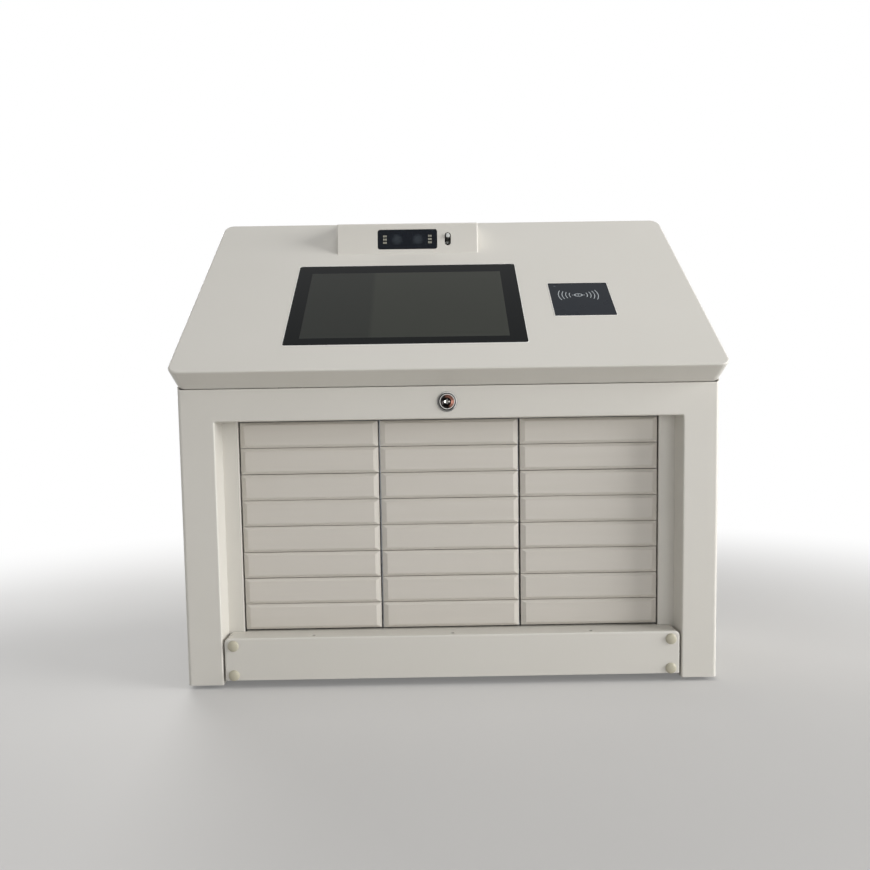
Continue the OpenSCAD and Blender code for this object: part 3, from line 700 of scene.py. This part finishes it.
LENS = lens_finish()
LAMP = lamp_finish()
print(LENS.name, LAMP.name)

# %% [markdown]
# ## Circuit boards
#
# The boards are only seen with the lid open. Solder mask is a clear green lacquer over copper, so
# the traces show as paler lines under one surface. Thin bands of two stretched noises, one each
# way, give lines that run, stop and start again as traces do.

# %% Circuit board
def board_finish():
    board = Finish("circuit_board", Coat_Weight=0.4)
    lines = sum(board.stretched(scale, 1, 0.3).within(0.012, 0.5)
                for scale in ((60, 900, 400), (900, 60, 400)))
    board.colour(board.blend(lines * 0.5, rgb(18, 84, 48), rgb(62, 138, 84)))
    board.rough(0.34 + lines * 0.06)
    board.bump(lines, 0.02)
    return board.material


BOARD = board_finish()
CHIP = moulding("chip_case", rgb(34, 35, 38), rgb(26, 27, 30))
print(BOARD.name)

# %% [markdown]
# ## The cabinet's shell
#
# The two sides and the front frame are welded and ground flush before painting, so the real
# front shows no seam. It is modelled as one surface: an outer box and the shallow box of the
# recess share the edge of the opening. The two boxes face opposite ways, so their normals are
# made to agree first: a bevel between faces that disagree bulges out of the sheet. Rounding goes
# in the order of the folds: first the recess's two upper corners, then the long fold round the
# opening, then the outer edges.

# %% The outer box and the recess as one surface
BODY_HALF, BODY_D, RIM = 276, 223.5, 306.7
OPENING, RAIL_Z, RECESS, FLANGE = 239.2, 273.5, 28, 222.1
REAR_RIM = RIM + BODY_D * math.tan(SLOPE)


def open_box(bm, low, high, gone):
    """A box without the faces that gone picks, by the way that they look."""
    corners = block(bm, low, high)
    faces = {face for corner in corners for face in corner.link_faces}
    bmesh.ops.delete(bm, geom=[f for f in faces if gone(f.normal)], context="FACES")


def slit(bm, faces, point, normal):
    """Adds the line where a plane crosses some faces."""
    parts = set(faces)
    for face in faces:
        parts.update(face.edges)
        parts.update(face.verts)
    bmesh.ops.bisect_plane(bm, geom=list(parts), plane_co=point, plane_no=normal)


def shell_surface():
    bm = bmesh.new()
    open_box(bm, (-BODY_HALF, 0, 0), (BODY_HALF, BODY_D, RIM),
             lambda n: abs(n.z) > 0.5 or n.y > 0.5)
    for corner in bm.verts:
        if corner.co.y > 1 and corner.co.z > 1:
            corner.co.z = REAR_RIM
    across, upward = (1, 0, 0), (0, 0, 1)
    for point, normal in (((-OPENING, 0, 0), across), ((OPENING, 0, 0), across),
                          ((0, 0, RAIL_Z), upward)):
        slit(bm, [f for f in bm.faces if abs(f.normal.y) > 0.5], point, normal)
    hole = [f for f in bm.faces if abs(f.calc_center_median().x) < 1
            and f.calc_center_median().z < RAIL_Z]
    bmesh.ops.delete(bm, geom=hole, context="FACES")
    recess = bmesh.new()
    open_box(recess, (-OPENING, 0, 0), (OPENING, RECESS, RAIL_Z),
             lambda n: n.z < -0.5 or n.y < -0.5)
    for x in (-FLANGE, FLANGE):
        back_and_roof = [f for f in recess.faces if f.normal.y > 0.5 or f.normal.z > 0.5]
        slit(recess, back_and_roof, (x, 0, 0), across)
    doors = [f for f in recess.faces if f.normal.y > 0.5 and abs(f.calc_center_median().x) < 1]
    bmesh.ops.delete(recess, geom=doors, context="FACES")
    whole = joined(bm, recess)
    bmesh.ops.remove_doubles(whole, verts=whole.verts, dist=10 * TOUCHING)
    flat = [e for e in whole.edges if e.is_manifold and e.calc_face_angle(0) < 0.01]
    bmesh.ops.dissolve_edges(whole, edges=flat, use_verts=True)
    bmesh.ops.recalc_face_normals(whole, faces=whole.faces)
    return whole


surface = shell_surface()
print(len(surface.faces), "faces before it is folded")

# %% Fold it and give it its thickness
RECESS_TOP_R, OPENING_R, RECESS_R, OUTER_R = 1.6, 3, 2, 4
RETURN_DEEP, RETURN_R = 4, 1.2
RIM_SIDE, RIM_FRONT, RIM_R = 10.5, 6, 0.6


def cabinet_shell(bm):
    upper = [e for e in bm.edges if runs(e, 1) and near(middle(e).z, RAIL_Z) and beside(e, OPENING)]
    round_over(bm, upper, RECESS_TOP_R, 3)
    fold = [e for e in bm.edges if lies_at(e, 1, 0) and abs(middle(e).x) < OPENING + 1
            and middle(e).z < RAIL_Z + 1 and not e.is_boundary]
    round_over(bm, fold, OPENING_R, 5)
    rear = [e for e in bm.edges if runs(e, 2) and near(middle(e).y, RECESS) and beside(e, OPENING)]
    round_over(bm, rear, RECESS_R, 3)
    outer = [e for e in bm.edges if runs(e, 2) and beside(e, BODY_HALF) and middle(e).y < 1]
    round_over(bm, outer, OUTER_R, 5)
    doorway = [e for e in bm.edges if e.is_boundary and beside(e, FLANGE)
               and middle(e).y > RECESS - 1]
    for edge in doorway:
        drawn_out(bm, [edge], (0, RETURN_DEEP, 0))
        round_over(bm, [edge], RETURN_R, 3)
    for edge in [e for e in bm.edges if e.is_boundary and middle(e).z > RIM - 1]:
        side = beside(edge, BODY_HALF)
        if side or runs(edge, 0):
            inward = math.copysign(RIM_SIDE, -middle(edge).x)
            drawn_out(bm, [edge], (inward, 0, 0) if side else (0, RIM_FRONT, 0))
            round_over(bm, [edge], RIM_R, 3)
    return sheet(bm, (0, -100, 290))


shell = piece(cabinet_shell(surface), "cabinet_shell", CABINET, "cabinet", POWDER,
              ["side_panel_left", "side_panel_right", "front_rail"])
print(len(shell.data.polygons), "faces in the cabinet's shell")

# %% [markdown]
# ## The lip
#
# A low folded panel closes the front under the drawers. Its top edge is a soft bend that catches
# a bright line, its upper corners are round, and three small holes are drilled in its top. Its
# top runs on under the lowest drawers as a narrower tongue, which leaves a dark notch at each
# side. Four ivory caps hide the screws that hold it. A cap is a turned shape: a shallow dome
# with a short upright rim.

# %% Lip
LIP_HALF, LIP_LOW, LIP_TOP = 237.4, 4.6, 49.2
LIP_FRONT, LIP_BACK, LIP_CORNER_R, LIP_BEND_R = 0.4, 27.4, 5, 1.9
TONGUE_HALF, TONGUE_LONG = 220.2, 6.1
HOLES_X, HOLES_Y, HOLE_R = (-145.5, 0, 145.5), 8, 2.5


def front_lip():
    bm = bmesh.new()
    open_box(bm, (-LIP_HALF, LIP_FRONT, LIP_LOW), (LIP_HALF, LIP_BACK, LIP_TOP),
             lambda n: n.z < -0.5 or n.y > 0.5)
    round_over(bm, [e for e in bm.edges if runs(e, 1) and not e.is_boundary], LIP_CORNER_R, 6)
    bend = [e for e in bm.edges if not e.is_boundary and lies_at(e, 1, LIP_FRONT)]
    round_over(bm, bend, LIP_BEND_R, 4)
    for x in (-TONGUE_HALF, TONGUE_HALF):
        slit(bm, [f for f in bm.faces if f.normal.z > 0.9], (x, 0, 0), (1, 0, 0))
    rear = [e for e in bm.edges if e.is_boundary and near(middle(e).y, LIP_BACK)
            and abs(middle(e).x) < 1]
    drawn_out(bm, rear, (0, TONGUE_LONG, 0))
    bm = sheet(bm, (0, -100, 25))
    for x in HOLES_X:
        drill = bmesh.new()
        bmesh.ops.create_cone(drill, cap_ends=True, segments=24, radius1=HOLE_R, radius2=HOLE_R,
                              depth=6, matrix=Matrix.Translation((x, HOLES_Y, LIP_TOP)))
        bm = carved(bm, drill)
    return bm


lip = piece(front_lip(), "front_lip_panel", CABINET, "cabinet", POWDER,
            ["front_lip"])
print(len(lip.data.polygons), "faces in the lip")

# %% Caps
CAP_SPOTS = [(x, z) for x in (-228, 228) for z in (10, 41.2)]
CAP_R, CAP_RIM, CAP_H = 5.7, 0.7, 3


def lip_cap(x, z):
    turns = [math.radians(15 * step) for step in range(6)]
    dome = [(CAP_R * math.cos(a), CAP_RIM + (CAP_H - CAP_RIM) * math.sin(a)) for a in turns]
    foot = [(0, 0), (CAP_R - 0.25, 0), (CAP_R, 0.25)]
    cap = turned([*foot, *dome, (0, CAP_H)], 40)
    cap.transform(Matrix.Translation((x, LIP_FRONT, z)) @ Matrix.Rotation(QUARTER, 4, "X"))
    return cap


caps = joined(*[lip_cap(x, z) for x, z in CAP_SPOTS])
piece(caps, "lip_cap_domes", CABINET, "cabinet", IVORY, ["lip_caps"])
print(len(CAP_SPOTS), "caps")

# %% [markdown]
# ## Drawers
#
# Each drawer is one moulding: a front with a raised field, a shallow tray, and a striker at the
# back that the lock holds. The field is the front face pushed out and made smaller, which leaves
# a bevel on all four sides. Tray and striker bite a tenth of a millimetre into what they join.
# Real mouldings sit a few tenths of a millimetre off each other, and that shows in the dark lines
# between them, so each front gets a small seeded shift.

# %% A drawer's front
FRONT_HALF, FRONT_LOW, FRONT_HIGH = 72.8, 0.25, 27.55
FRONT_Y, FRONT_BACK = 27, 33
BEVEL_DEEP, BEVEL_X, BEVEL_Z, FIELD_R = 2.2, 5.3, 3.2, 0.3


def drawer_front():
    bm = bmesh.new()
    block(bm, (-FRONT_HALF, FRONT_Y + BEVEL_DEEP, FRONT_LOW), (FRONT_HALF, FRONT_BACK, FRONT_HIGH))
    face = min(bm.faces, key=lambda f: f.calc_center_median().y)
    field = points_in(bmesh.ops.extrude_face_region(bm, geom=[face])["geom"])
    bmesh.ops.delete(bm, geom=[face], context="FACES")
    bmesh.ops.translate(bm, verts=field, vec=(0, -BEVEL_DEEP, 0))
    for corner in field:
        corner.co.x -= math.copysign(BEVEL_X, corner.co.x)
        corner.co.z += BEVEL_Z if corner.co.z < FRONT_HIGH / 2 else -BEVEL_Z
    round_over(bm, [e for e in bm.edges if middle(e).y < FRONT_BACK - 1], FIELD_R, 2)
    return bm


front = drawer_front()
print(len(front.faces), "faces in a front")

# %% A drawer's tray
TRAY_HALF, TRAY_LOW, TRAY_TOP, TRAY_BACK, TRAY_T = 71, 3, 25, 196, 1.6
TRAY_CORNER_R, TRAY_FLOOR_R, BRIM_R = 4, 2, 0.35
BITE = 0.1


def drawer_tray():
    bm = bmesh.new()
    open_box(bm, (-TRAY_HALF, FRONT_BACK - BITE, TRAY_LOW), (TRAY_HALF, TRAY_BACK, TRAY_TOP),
             lambda n: n.z > 0.5)
    rear = [e for e in bm.edges if runs(e, 2) and middle(e).y > TRAY_BACK / 2]
    round_over(bm, rear, TRAY_CORNER_R, 4)
    lower = [e for e in bm.edges if max(v.co.z for v in e.verts) < TRAY_LOW + 0.01]
    round_over(bm, lower, TRAY_FLOOR_R, 3)
    bm = sheet(bm, (0, 100, -50), TRAY_T)
    brim = [e for e in bm.edges if min(v.co.z for v in e.verts) > TRAY_TOP - 0.1
            and e.is_manifold and e.calc_face_angle(0) > 1]
    round_over(bm, brim, BRIM_R, 2)
    return joined(bm, box_of((-1, TRAY_BACK - BITE, 9.5), (1, 205, 17.5)))


tray = drawer_tray()
print(len(tray.faces), "faces in a tray")

# %% All 24 drawers
PITCH_X, PITCH_Z, BANK_TOP = 147.8, 27.8, 273.2
moulded = joined(front, tray)
for column in (1, 2, 3):
    for row in range(1, 9):
        name = f"drawer_c{column}_r{row}"
        x = (column - 2) * PITCH_X + random.uniform(-0.12, 0.12)
        y = random.uniform(-0.3, 0.1)
        z = BANK_TOP - row * PITCH_Z + random.uniform(-0.1, 0.1)
        piece(moulded.copy(), "moulded_" + name, CABINET @ Matrix.Translation((x, y, z)),
              name, MOULDING, [name])
moulded.free()
print("24 drawers")

# %% [markdown]
# ## The lid
#
# The lid is a shallow tray of the same sheet, upside down and tipped back. Its front wall leans
# in under the nose and its rear wall stands upright, so the block's lower corners are moved
# before anything is rounded. The screen, the tile and the camera's slot are cut after the sheet
# has its thickness, and the cut edges are broken, as a file leaves them.

# %% Lid
LID_HALF, LID_LEN, LID_T, SKIRT = 277.6, 324.1, 29.13, 12.41
LID_CORNER_R, LID_FOLD_R, FILED = 11, 2.6, 0.45
SCREEN_SPOT, TILE_SPOT, SLOT_SPOT = (SCREEN_X, 128), (149, 129), (SCREEN_X, 276.8)
CUTS = [(SCREEN_SPOT, 253.6, 169.2, 3.5), (TILE_SPOT, 68.4, 71.9, 1.9), (SLOT_SPOT, 150, 57, 2)]


def lid_pan():
    bm = bmesh.new()
    open_box(bm, (-LID_HALF, 0, -LID_T), (LID_HALF, LID_LEN, 0), lambda n: n.z < -0.5)
    for corner in bm.verts:
        if corner.co.z < -1:
            corner.co.y = SKIRT if corner.co.y < 1 else LID_LEN - LID_T * math.tan(SLOPE)
    upright = [e for e in bm.edges if not e.is_boundary
               and abs(e.verts[0].co.z - e.verts[1].co.z) > 1]
    round_over(bm, upright, LID_CORNER_R, 10)
    round_over(bm, [e for e in bm.edges if lies_at(e, 2, 0)], LID_FOLD_R, 5)
    bm = sheet(bm, (0, 150, 100))
    for centre, width, height, corner in CUTS:
        bm = carved(bm, plate(width, height, corner, -9, 9, centre=centre))
    brink = [e for e in bm.edges if e.is_manifold and e.calc_face_angle(0) > 1
             and lies_at(e, 2, 0)]
    round_over(bm, brink, FILED, 2)
    return bm


lid = piece(lid_pan(), "lid_pan", LID, "lid", POWDER, ["lid_shell"])
print(len(lid.data.polygons), "faces in the lid")

# %% [markdown]
# ## Screen glass, tile and the camera's window
#
# These are flat plates that lie a few tenths of a millimetre under the surface around them. The
# polished edge of each is a small round, just enough for a highlight. The fine bright line round
# the glass and the tile is a painted highlight: a white ring in the gap, made by cutting one plate
# out of another.

# %% Glass, tile and window
glass = plate(252, 167.6, 3, -2.8, -0.3, 0.4, SCREEN_SPOT)
piece(glass, "screen_glass_pane", LID, "lid", GLASS, ["screen_glass"])
tile = plate(67, 70.5, 1.5, -2.2, -0.2, 0.35, TILE_SPOT)
piece(tile, "card_reader_tile", LID, "lid", TILE, ["reader_tile"])
pane = plate(71.3, 23.4, 2.6, -1.5, -0.2, 0.35, (0, WINDOW_UP))
flange = plate(79.3, 28.4, 2.6, -2.7, -1.49, 0, (0, WINDOW_UP))
piece(joined(pane, flange), "smoked_window", FACE, "lid", WINDOW, ["camera_window"])
print("glass, tile and window")

# %% Rings of painted highlight
RING_GAP, RING_W, RING_PROUD = 0.05, 1.0, 0.12


def highlight_ring(centre, width, height, corner):
    """A white frame that fills the gap round a plate in one of the lid's cuts: a painted highlight
    line.
    """
    ring = plate(width - 2 * RING_GAP, height - 2 * RING_GAP, corner,
                 -1.2, RING_PROUD, 0.3, centre)
    hole = plate(width - 2 * RING_W, height - 2 * RING_W, corner - 0.9, -3, 3, 0, centre)
    return carved(ring, hole)


# white rings in the gaps round the glass and the tile, a painted highlight line
highlight_rings = joined(*[highlight_ring(*cut) for cut in CUTS[:2]])
piece(highlight_rings, "painted_highlight_rings", LID, "lid", PAINTED_HIGHLIGHT_FINISH)
print("seals round the glass and the tile")

# %% [markdown]
# ## Camera housing
#
# The housing is a wedge of folded sheet. Its profile has three corners, and the lowest side is
# open to the lid. The window's opening and the lever's slot are cut square to the face, so the
# cutters are turned with it.

# %% Camera housing
HOUSING_HALF, FACE_H, HOOD_FOLD_R, LEVER_X = 85, 36.7, 1.6, 48.7
APEX = (FACE_H * math.cos(FACE_TURN), FACE_H * math.sin(FACE_TURN))
HEEL = (LID_LEN - HOUSING_UP - SHEET_T, 0)
FACE_CUTS = [((0, WINDOW_UP), 71.9, 24, 2.9), ((LEVER_X, WINDOW_UP), 7.4, 15.8, 3.69)]


def camera_housing():
    bm = prism([(0, 0), APEX, HEEL], -HOUSING_HALF, HOUSING_HALF)
    bmesh.ops.recalc_face_normals(bm, faces=bm.faces)
    bmesh.ops.delete(bm, geom=[f for f in bm.faces if f.normal.z < -0.9], context="FACES")
    round_over(bm, [e for e in bm.edges if not e.is_boundary], HOOD_FOLD_R, 4)
    bm = sheet(bm, (0, -50, 60))
    turn = Matrix.Rotation(FACE_TURN, 4, "X")
    for centre, width, height, corner in FACE_CUTS:
        bm = carved(bm, plate(width, height, corner, -5, 5, centre=centre), turn)
    return bm


piece(camera_housing(), "camera_hood", HOUSING, "lid", POWDER, ["camera_housing"])
print("camera hood")

# %% [markdown]
# ## Camera and lever
#
# Behind the window sit two lens barrels and two groups of small lamps on one board, which tilts
# on two stubs. The lever is a round-ended knob on an arm from the right-hand stub. They are
# modelled about the pivot, 14 mm behind the middle of the window.

# %% Camera board, lenses and lamps
PIVOT_DEEP, STUB_R = 14, 1.5
PIVOT = FACE @ Matrix.Translation((0, WINDOW_UP, -PIVOT_DEEP))
LENS_PROFILE = [(0, 1), (6.5, 1), (6.5, 7.4), (6.1, 8), (5.3, 8), (5.0, 7.5), (3.6, 7.3),
                (2.0, 7.5), (0, 7.7)]


def shifted(bm, x, y, z):
    bmesh.ops.translate(bm, verts=bm.verts, vec=(x, y, z))
    return bm


def stub(x, length):
    """A stub of the tilt axle, its middle at x."""
    end = length / 2
    bm = turned([(0, -end), (STUB_R, -end), (STUB_R, end), (0, end)], 24)
    bm.transform(Matrix.Translation((x, 0, 0)) @ Matrix.Rotation(QUARTER, 4, "Y"))
    return bm


def small_lamp(x, row):
    """One lamp from its left edge, in row -1, 0 or 1."""
    up = LAMP_ROW * row
    return box_of((x, up - 1.1, 2.5), (x + 2, up + 1.1, 5), 0.2)


body = joined(box_of((-34, -9.5, 1), (34, 9.5, 2.6)), box_of((-30, -7, -4), (30, 7, 1)),
              stub(-35.8, 7.4), stub(35.8, 7.4))
piece(body, "camera_board", PIVOT, "camera", BLACK, ["camera_module"])
lenses = [shifted(turned(LENS_PROFILE, 48), x, 0, 0) for x in (-LENS_X, LENS_X)]
piece(joined(*lenses), "camera_lenses", PIVOT, "camera", LENS)
lamps = [small_lamp(side - 2.3 + pair, row)
         for side in (-27, 27) for row in (-1, 0, 1) for pair in (0, 2.5)]
piece(joined(*lamps), "camera_lamps", PIVOT, "camera", LAMP)
print(len(lenses), "lenses and", len(lamps), "lamps")

# %% Tilt lever
knob = shifted(plate(4.4, 5.6, 2.1, -2, 17.5, 0.9), LEVER_X, 3.2, 0)
arm = box_of((LEVER_X - 1.5, -2.2, -2.2), (LEVER_X + 1.5, 5.4, 2.2))
piece(joined(knob, arm, stub(44.1, 9.2)), "tilt_lever", PIVOT, "camera", LEVER,
      ["camera_lever"])
print("tilt lever")

# %% [markdown]
# ## Cam lock
#
# The lock's face is a set of concentric chromed rings with the plug in the middle. All of it is
# turned, so one profile of (radius, height) points gives every ring. The keyway is cut into the
# plug, with painted shade all the way in.

# %% Lock
BEZEL = [(9.25, -18), (9.25, 0), (10.25, 0), (10.25, 0.5), (9.95, 1.05), (9.0, 1.15),
         (8.75, 0.75), (8.45, 0.75), (8.25, 1.4), (7.8, 2.05), (7.2, 2.15), (6.6, 1.95),
         (6.05, 1.6), (6.05, -18), (9.25, -18)]
PLUG = [(0, 1.15), (3.0, 1.15), (3.45, 0.8), (3.6, 0.15), (5.5, 1.45), (5.95, 1.5),
        (5.95, -18.1), (3.5, -18.1), (3.5, -20.3), (4.5, -20.3), (4.5, -22.3), (0, -22.3)]
LOCK_STEPS = 96
bezel = turned(BEZEL, LOCK_STEPS)
piece(bezel, "lock_bezel", LOCK, "cabinet", CHROME, ["lock_barrel"])
keyway = box_of((-0.75, -2.6, -7.5), (0.75, 2.6, 4))
plug = carved(turned(PLUG, LOCK_STEPS), keyway)
piece(plug, "lock_core", LOCK, "lock", CHROME, ["lock_plug"])
print("lock")

# %% [markdown]
# ## Inner and rear parts
#
# Runners, plates, hinges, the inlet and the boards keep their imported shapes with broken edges.
# Parts on a board are one solid with it, so they are told apart by height: whatever stands above
# the board takes the finish of a case or a socket.

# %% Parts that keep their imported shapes
PLAIN = {"rear_panel": ("cabinet", POWDER, 0.3), "base_pan": ("cabinet", POWDER, 0.3),
         "bank_walls": ("cabinet", ZINC, 0.25), "drawer_runners": ("cabinet", ZINC, 0.2),
         "bank_cover": ("cabinet", ZINC, 0.25), "drawer_locks": ("cabinet", ZINC, 0.4),
         "power_supply": ("cabinet", ZINC, 0.4), "power_inlet": ("cabinet", BLACK, 0.3),
         "power_switch": ("switch", BLACK, 0.3), "rubber_feet": ("cabinet", RUBBER, 0.8),
         "hinge_leaves_cabinet": ("cabinet", ZINC, 0.2), "hinge_leaves_lid": ("lid", ZINC, 0.2),
         "lock_nut": ("cabinet", ZINC, 0.3), "lock_cam": ("lock", ZINC, 0.3),
         "lid_strike": ("lid", ZINC, 0.3), "display_module": ("lid", BLACK, 0.5),
         "display_straps": ("lid", ZINC, 0.3), "reader_module": ("lid", BLACK, 0.6),
         "camera_bracket": ("lid", ZINC, 0.3)}
for node, (rider, finish, width) in PLAIN.items():
    piece(softened(node, width), node + "_softened", BACK_TO_METRES, rider, finish,
          [node])
hinge_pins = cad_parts["hinge_pins"].data.materials
hinge_pins.clear()
hinge_pins.append(ZINC)
print(len(PLAIN), "softened parts")

# %% Boards with their parts
CHIPS, SOCKETS, RELAYS = 1, 2, 3
PANEL_FOOT = -12.3


def populated(node, rider, height, kinds):
    """height gives a point's distance from the foot of the board's legs. kinds lists pairs: the
    height from which a kind of part starts, and the number of its finish."""
    bm = softened(node, 0.25)
    for face in bm.faces:
        above = height(face.calc_center_median())
        face.material_index = max((index for start, index in kinds if above > start), default=0)
    piece(bm, node + "_populated", BACK_TO_METRES, rider,
          [BOARD, CHIP, WHITE_SOCKET, BLUE_RELAY], [node])


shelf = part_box("controller_board")[0].z / MM
populated("controller_board", "cabinet", lambda p: p.z - shelf,
          [(7.7, CHIPS), (10.7, SOCKETS), (17.8, RELAYS)])
panel = LID.inverted()
populated("panel_board", "lid", lambda p: PANEL_FOOT - (panel @ (p * MM)).z,
          [(7.7, CHIPS), (16.7, SOCKETS)])
print("boards")

# %% [markdown]
# ## Floor and surroundings
#
# The box stands on a plain pale floor. The floor keeps the box's shadow. White is mixed into it, a
# little near the box and all of it far away, but only for rays from the camera, in reflections
# and through the window, so a pale floor doesn't throw more light on the object than a table
# would. The world does the same: white to look at, softer as a light.

# %% The floor's finish
SEEING_RAYS = ("Is Camera Ray", "Is Glossy Ray", "Is Transmission Ray")
WHITE = (1, 1, 1, 1)
WHITE_NEAR, NEAR_FLOOR, FAR_FLOOR = 0.15, 0.42, 1.3


def floor_finish():
    floor = Finish("studio_floor")
    across, back, _ = floor.axes()
    haze = floor.noise(4, 2, 0.5)
    floor.colour(floor.blend(haze, rgb(190, 188, 185), rgb(195, 193, 190)))
    floor.rough(0.62 + haze * 0.1)
    seen = sum(floor.node("ShaderNodeLightPath", output=ray) for ray in SEEING_RAYS)
    white = floor.node("ShaderNodeEmission", inputs={"Color": WHITE})
    far = floor.ramp(away(across, back), NEAR_FLOOR, FAR_FLOOR)
    factor = (WHITE_NEAR + far * (1 - WHITE_NEAR)) * seen
    lit = Wire(floor, floor.shader.outputs[0])
    mixed = floor.node("ShaderNodeMixShader", inputs={0: factor, 1: lit, 2: white})
    floor.plug(floor.tree.nodes["Material Output"].inputs["Surface"], mixed)
    return floor.material


FLOOR = floor_finish()
print(FLOOR.name)

# %% Floor
FLOOR_HALF = 30
ground = bmesh.new()
bmesh.ops.create_grid(ground, x_segments=1, y_segments=1, size=FLOOR_HALF)
studio_floor = put("studio_floor", mesh_of(ground, "studio_floor"))
studio_floor.data.materials.append(FLOOR)
print("a floor", 2 * FLOOR_HALF, "m wide")

# %% World
def studio_world(ambient):
    world = bpy.data.worlds.new("studio")
    world.use_nodes = True
    nodes, links = world.node_tree.nodes, world.node_tree.links
    path = nodes.new("ShaderNodeLightPath")
    total = path.outputs[SEEING_RAYS[0]]
    for ray in SEEING_RAYS[1:]:
        join = nodes.new("ShaderNodeMath")
        links.new(total, join.inputs[0])
        links.new(path.outputs[ray], join.inputs[1])
        total = join.outputs[0]
    strength = nodes.new("ShaderNodeMapRange")
    strength.inputs["To Min"].default_value = ambient
    links.new(total, strength.inputs["Value"])
    links.new(strength.outputs["Result"], nodes["Background"].inputs["Strength"])
    nodes["Background"].inputs["Color"].default_value = WHITE
    scene.world = world


studio_world(ambient=0.035)
print("world", scene.world.name)

# %% [markdown]
# ## Lamps
#
# The photograph's light is a wide window on the right, barely in front of the box: the recess's
# left wall is the brightest surface and its right wall the darkest. One large lamp does that, and
# three weak ones stand for the light that a room's walls and ceiling send back. Their strengths
# come from rendering each alone and solving for the mix that gives the photograph's greys. The
# fifth stands behind the box, where it lights the rear panel and nothing that the front view shows.

# %% Lamps
MIDDLE_OF_BOX = Vector((0, 0, 0.28))


def lamp(name, place, width, height, power):
    """A large lamp that looks at the middle of the box: sizes in metres, power in watts."""
    light = bpy.data.lights.new(name, "AREA")
    light.shape = "RECTANGLE"
    light.size, light.size_y, light.energy = width, height, power
    stand = put(name, light)
    stand.location = place
    way = MIDDLE_OF_BOX - Vector(place)
    stand.rotation_euler = way.to_track_quat("-Z", "Y").to_euler()


lamp("window", (3.0, -0.85, 1.0), 1.9, 1.7, 116)
lamp("front fill", (0.5, -2.4, 0.4), 1.4, 1.2, 15)
lamp("left fill", (-2.0, -1.2, 0.6), 1.4, 1.2, 7)
lamp("top fill", (0, -0.3, 2.3), 1.6, 1.2, 12.5)
lamp("rear fill", (-1.3, 2.6, 1.1), 1.8, 1.4, 40)
print("five lamps")

# %% [markdown]
# ## Camera
#
# The photograph was taken from close by, a little left of the middle and about at the height of
# the lock. Its place and angle came from fitting the box's known edges to the picture. The small
# upward shift frames the object as in the photograph.

# %% Camera
camera = put("camera", bpy.data.cameras.new("camera"))
camera.data.sensor_width = 36
camera.data.lens = 31.448
camera.data.shift_x, camera.data.shift_y = -0.00057, 0.0545
camera.data.clip_start = 0.02
camera.location = (-0.019276, -0.87732, 0.2710)
camera.rotation_euler = [math.radians(angle) for angle in (85.6935, 0.8958, -0.3786)]
scene.camera = camera
scene.view_settings.view_transform = "Standard"
print("camera at", [round(v, 3) for v in camera.location])
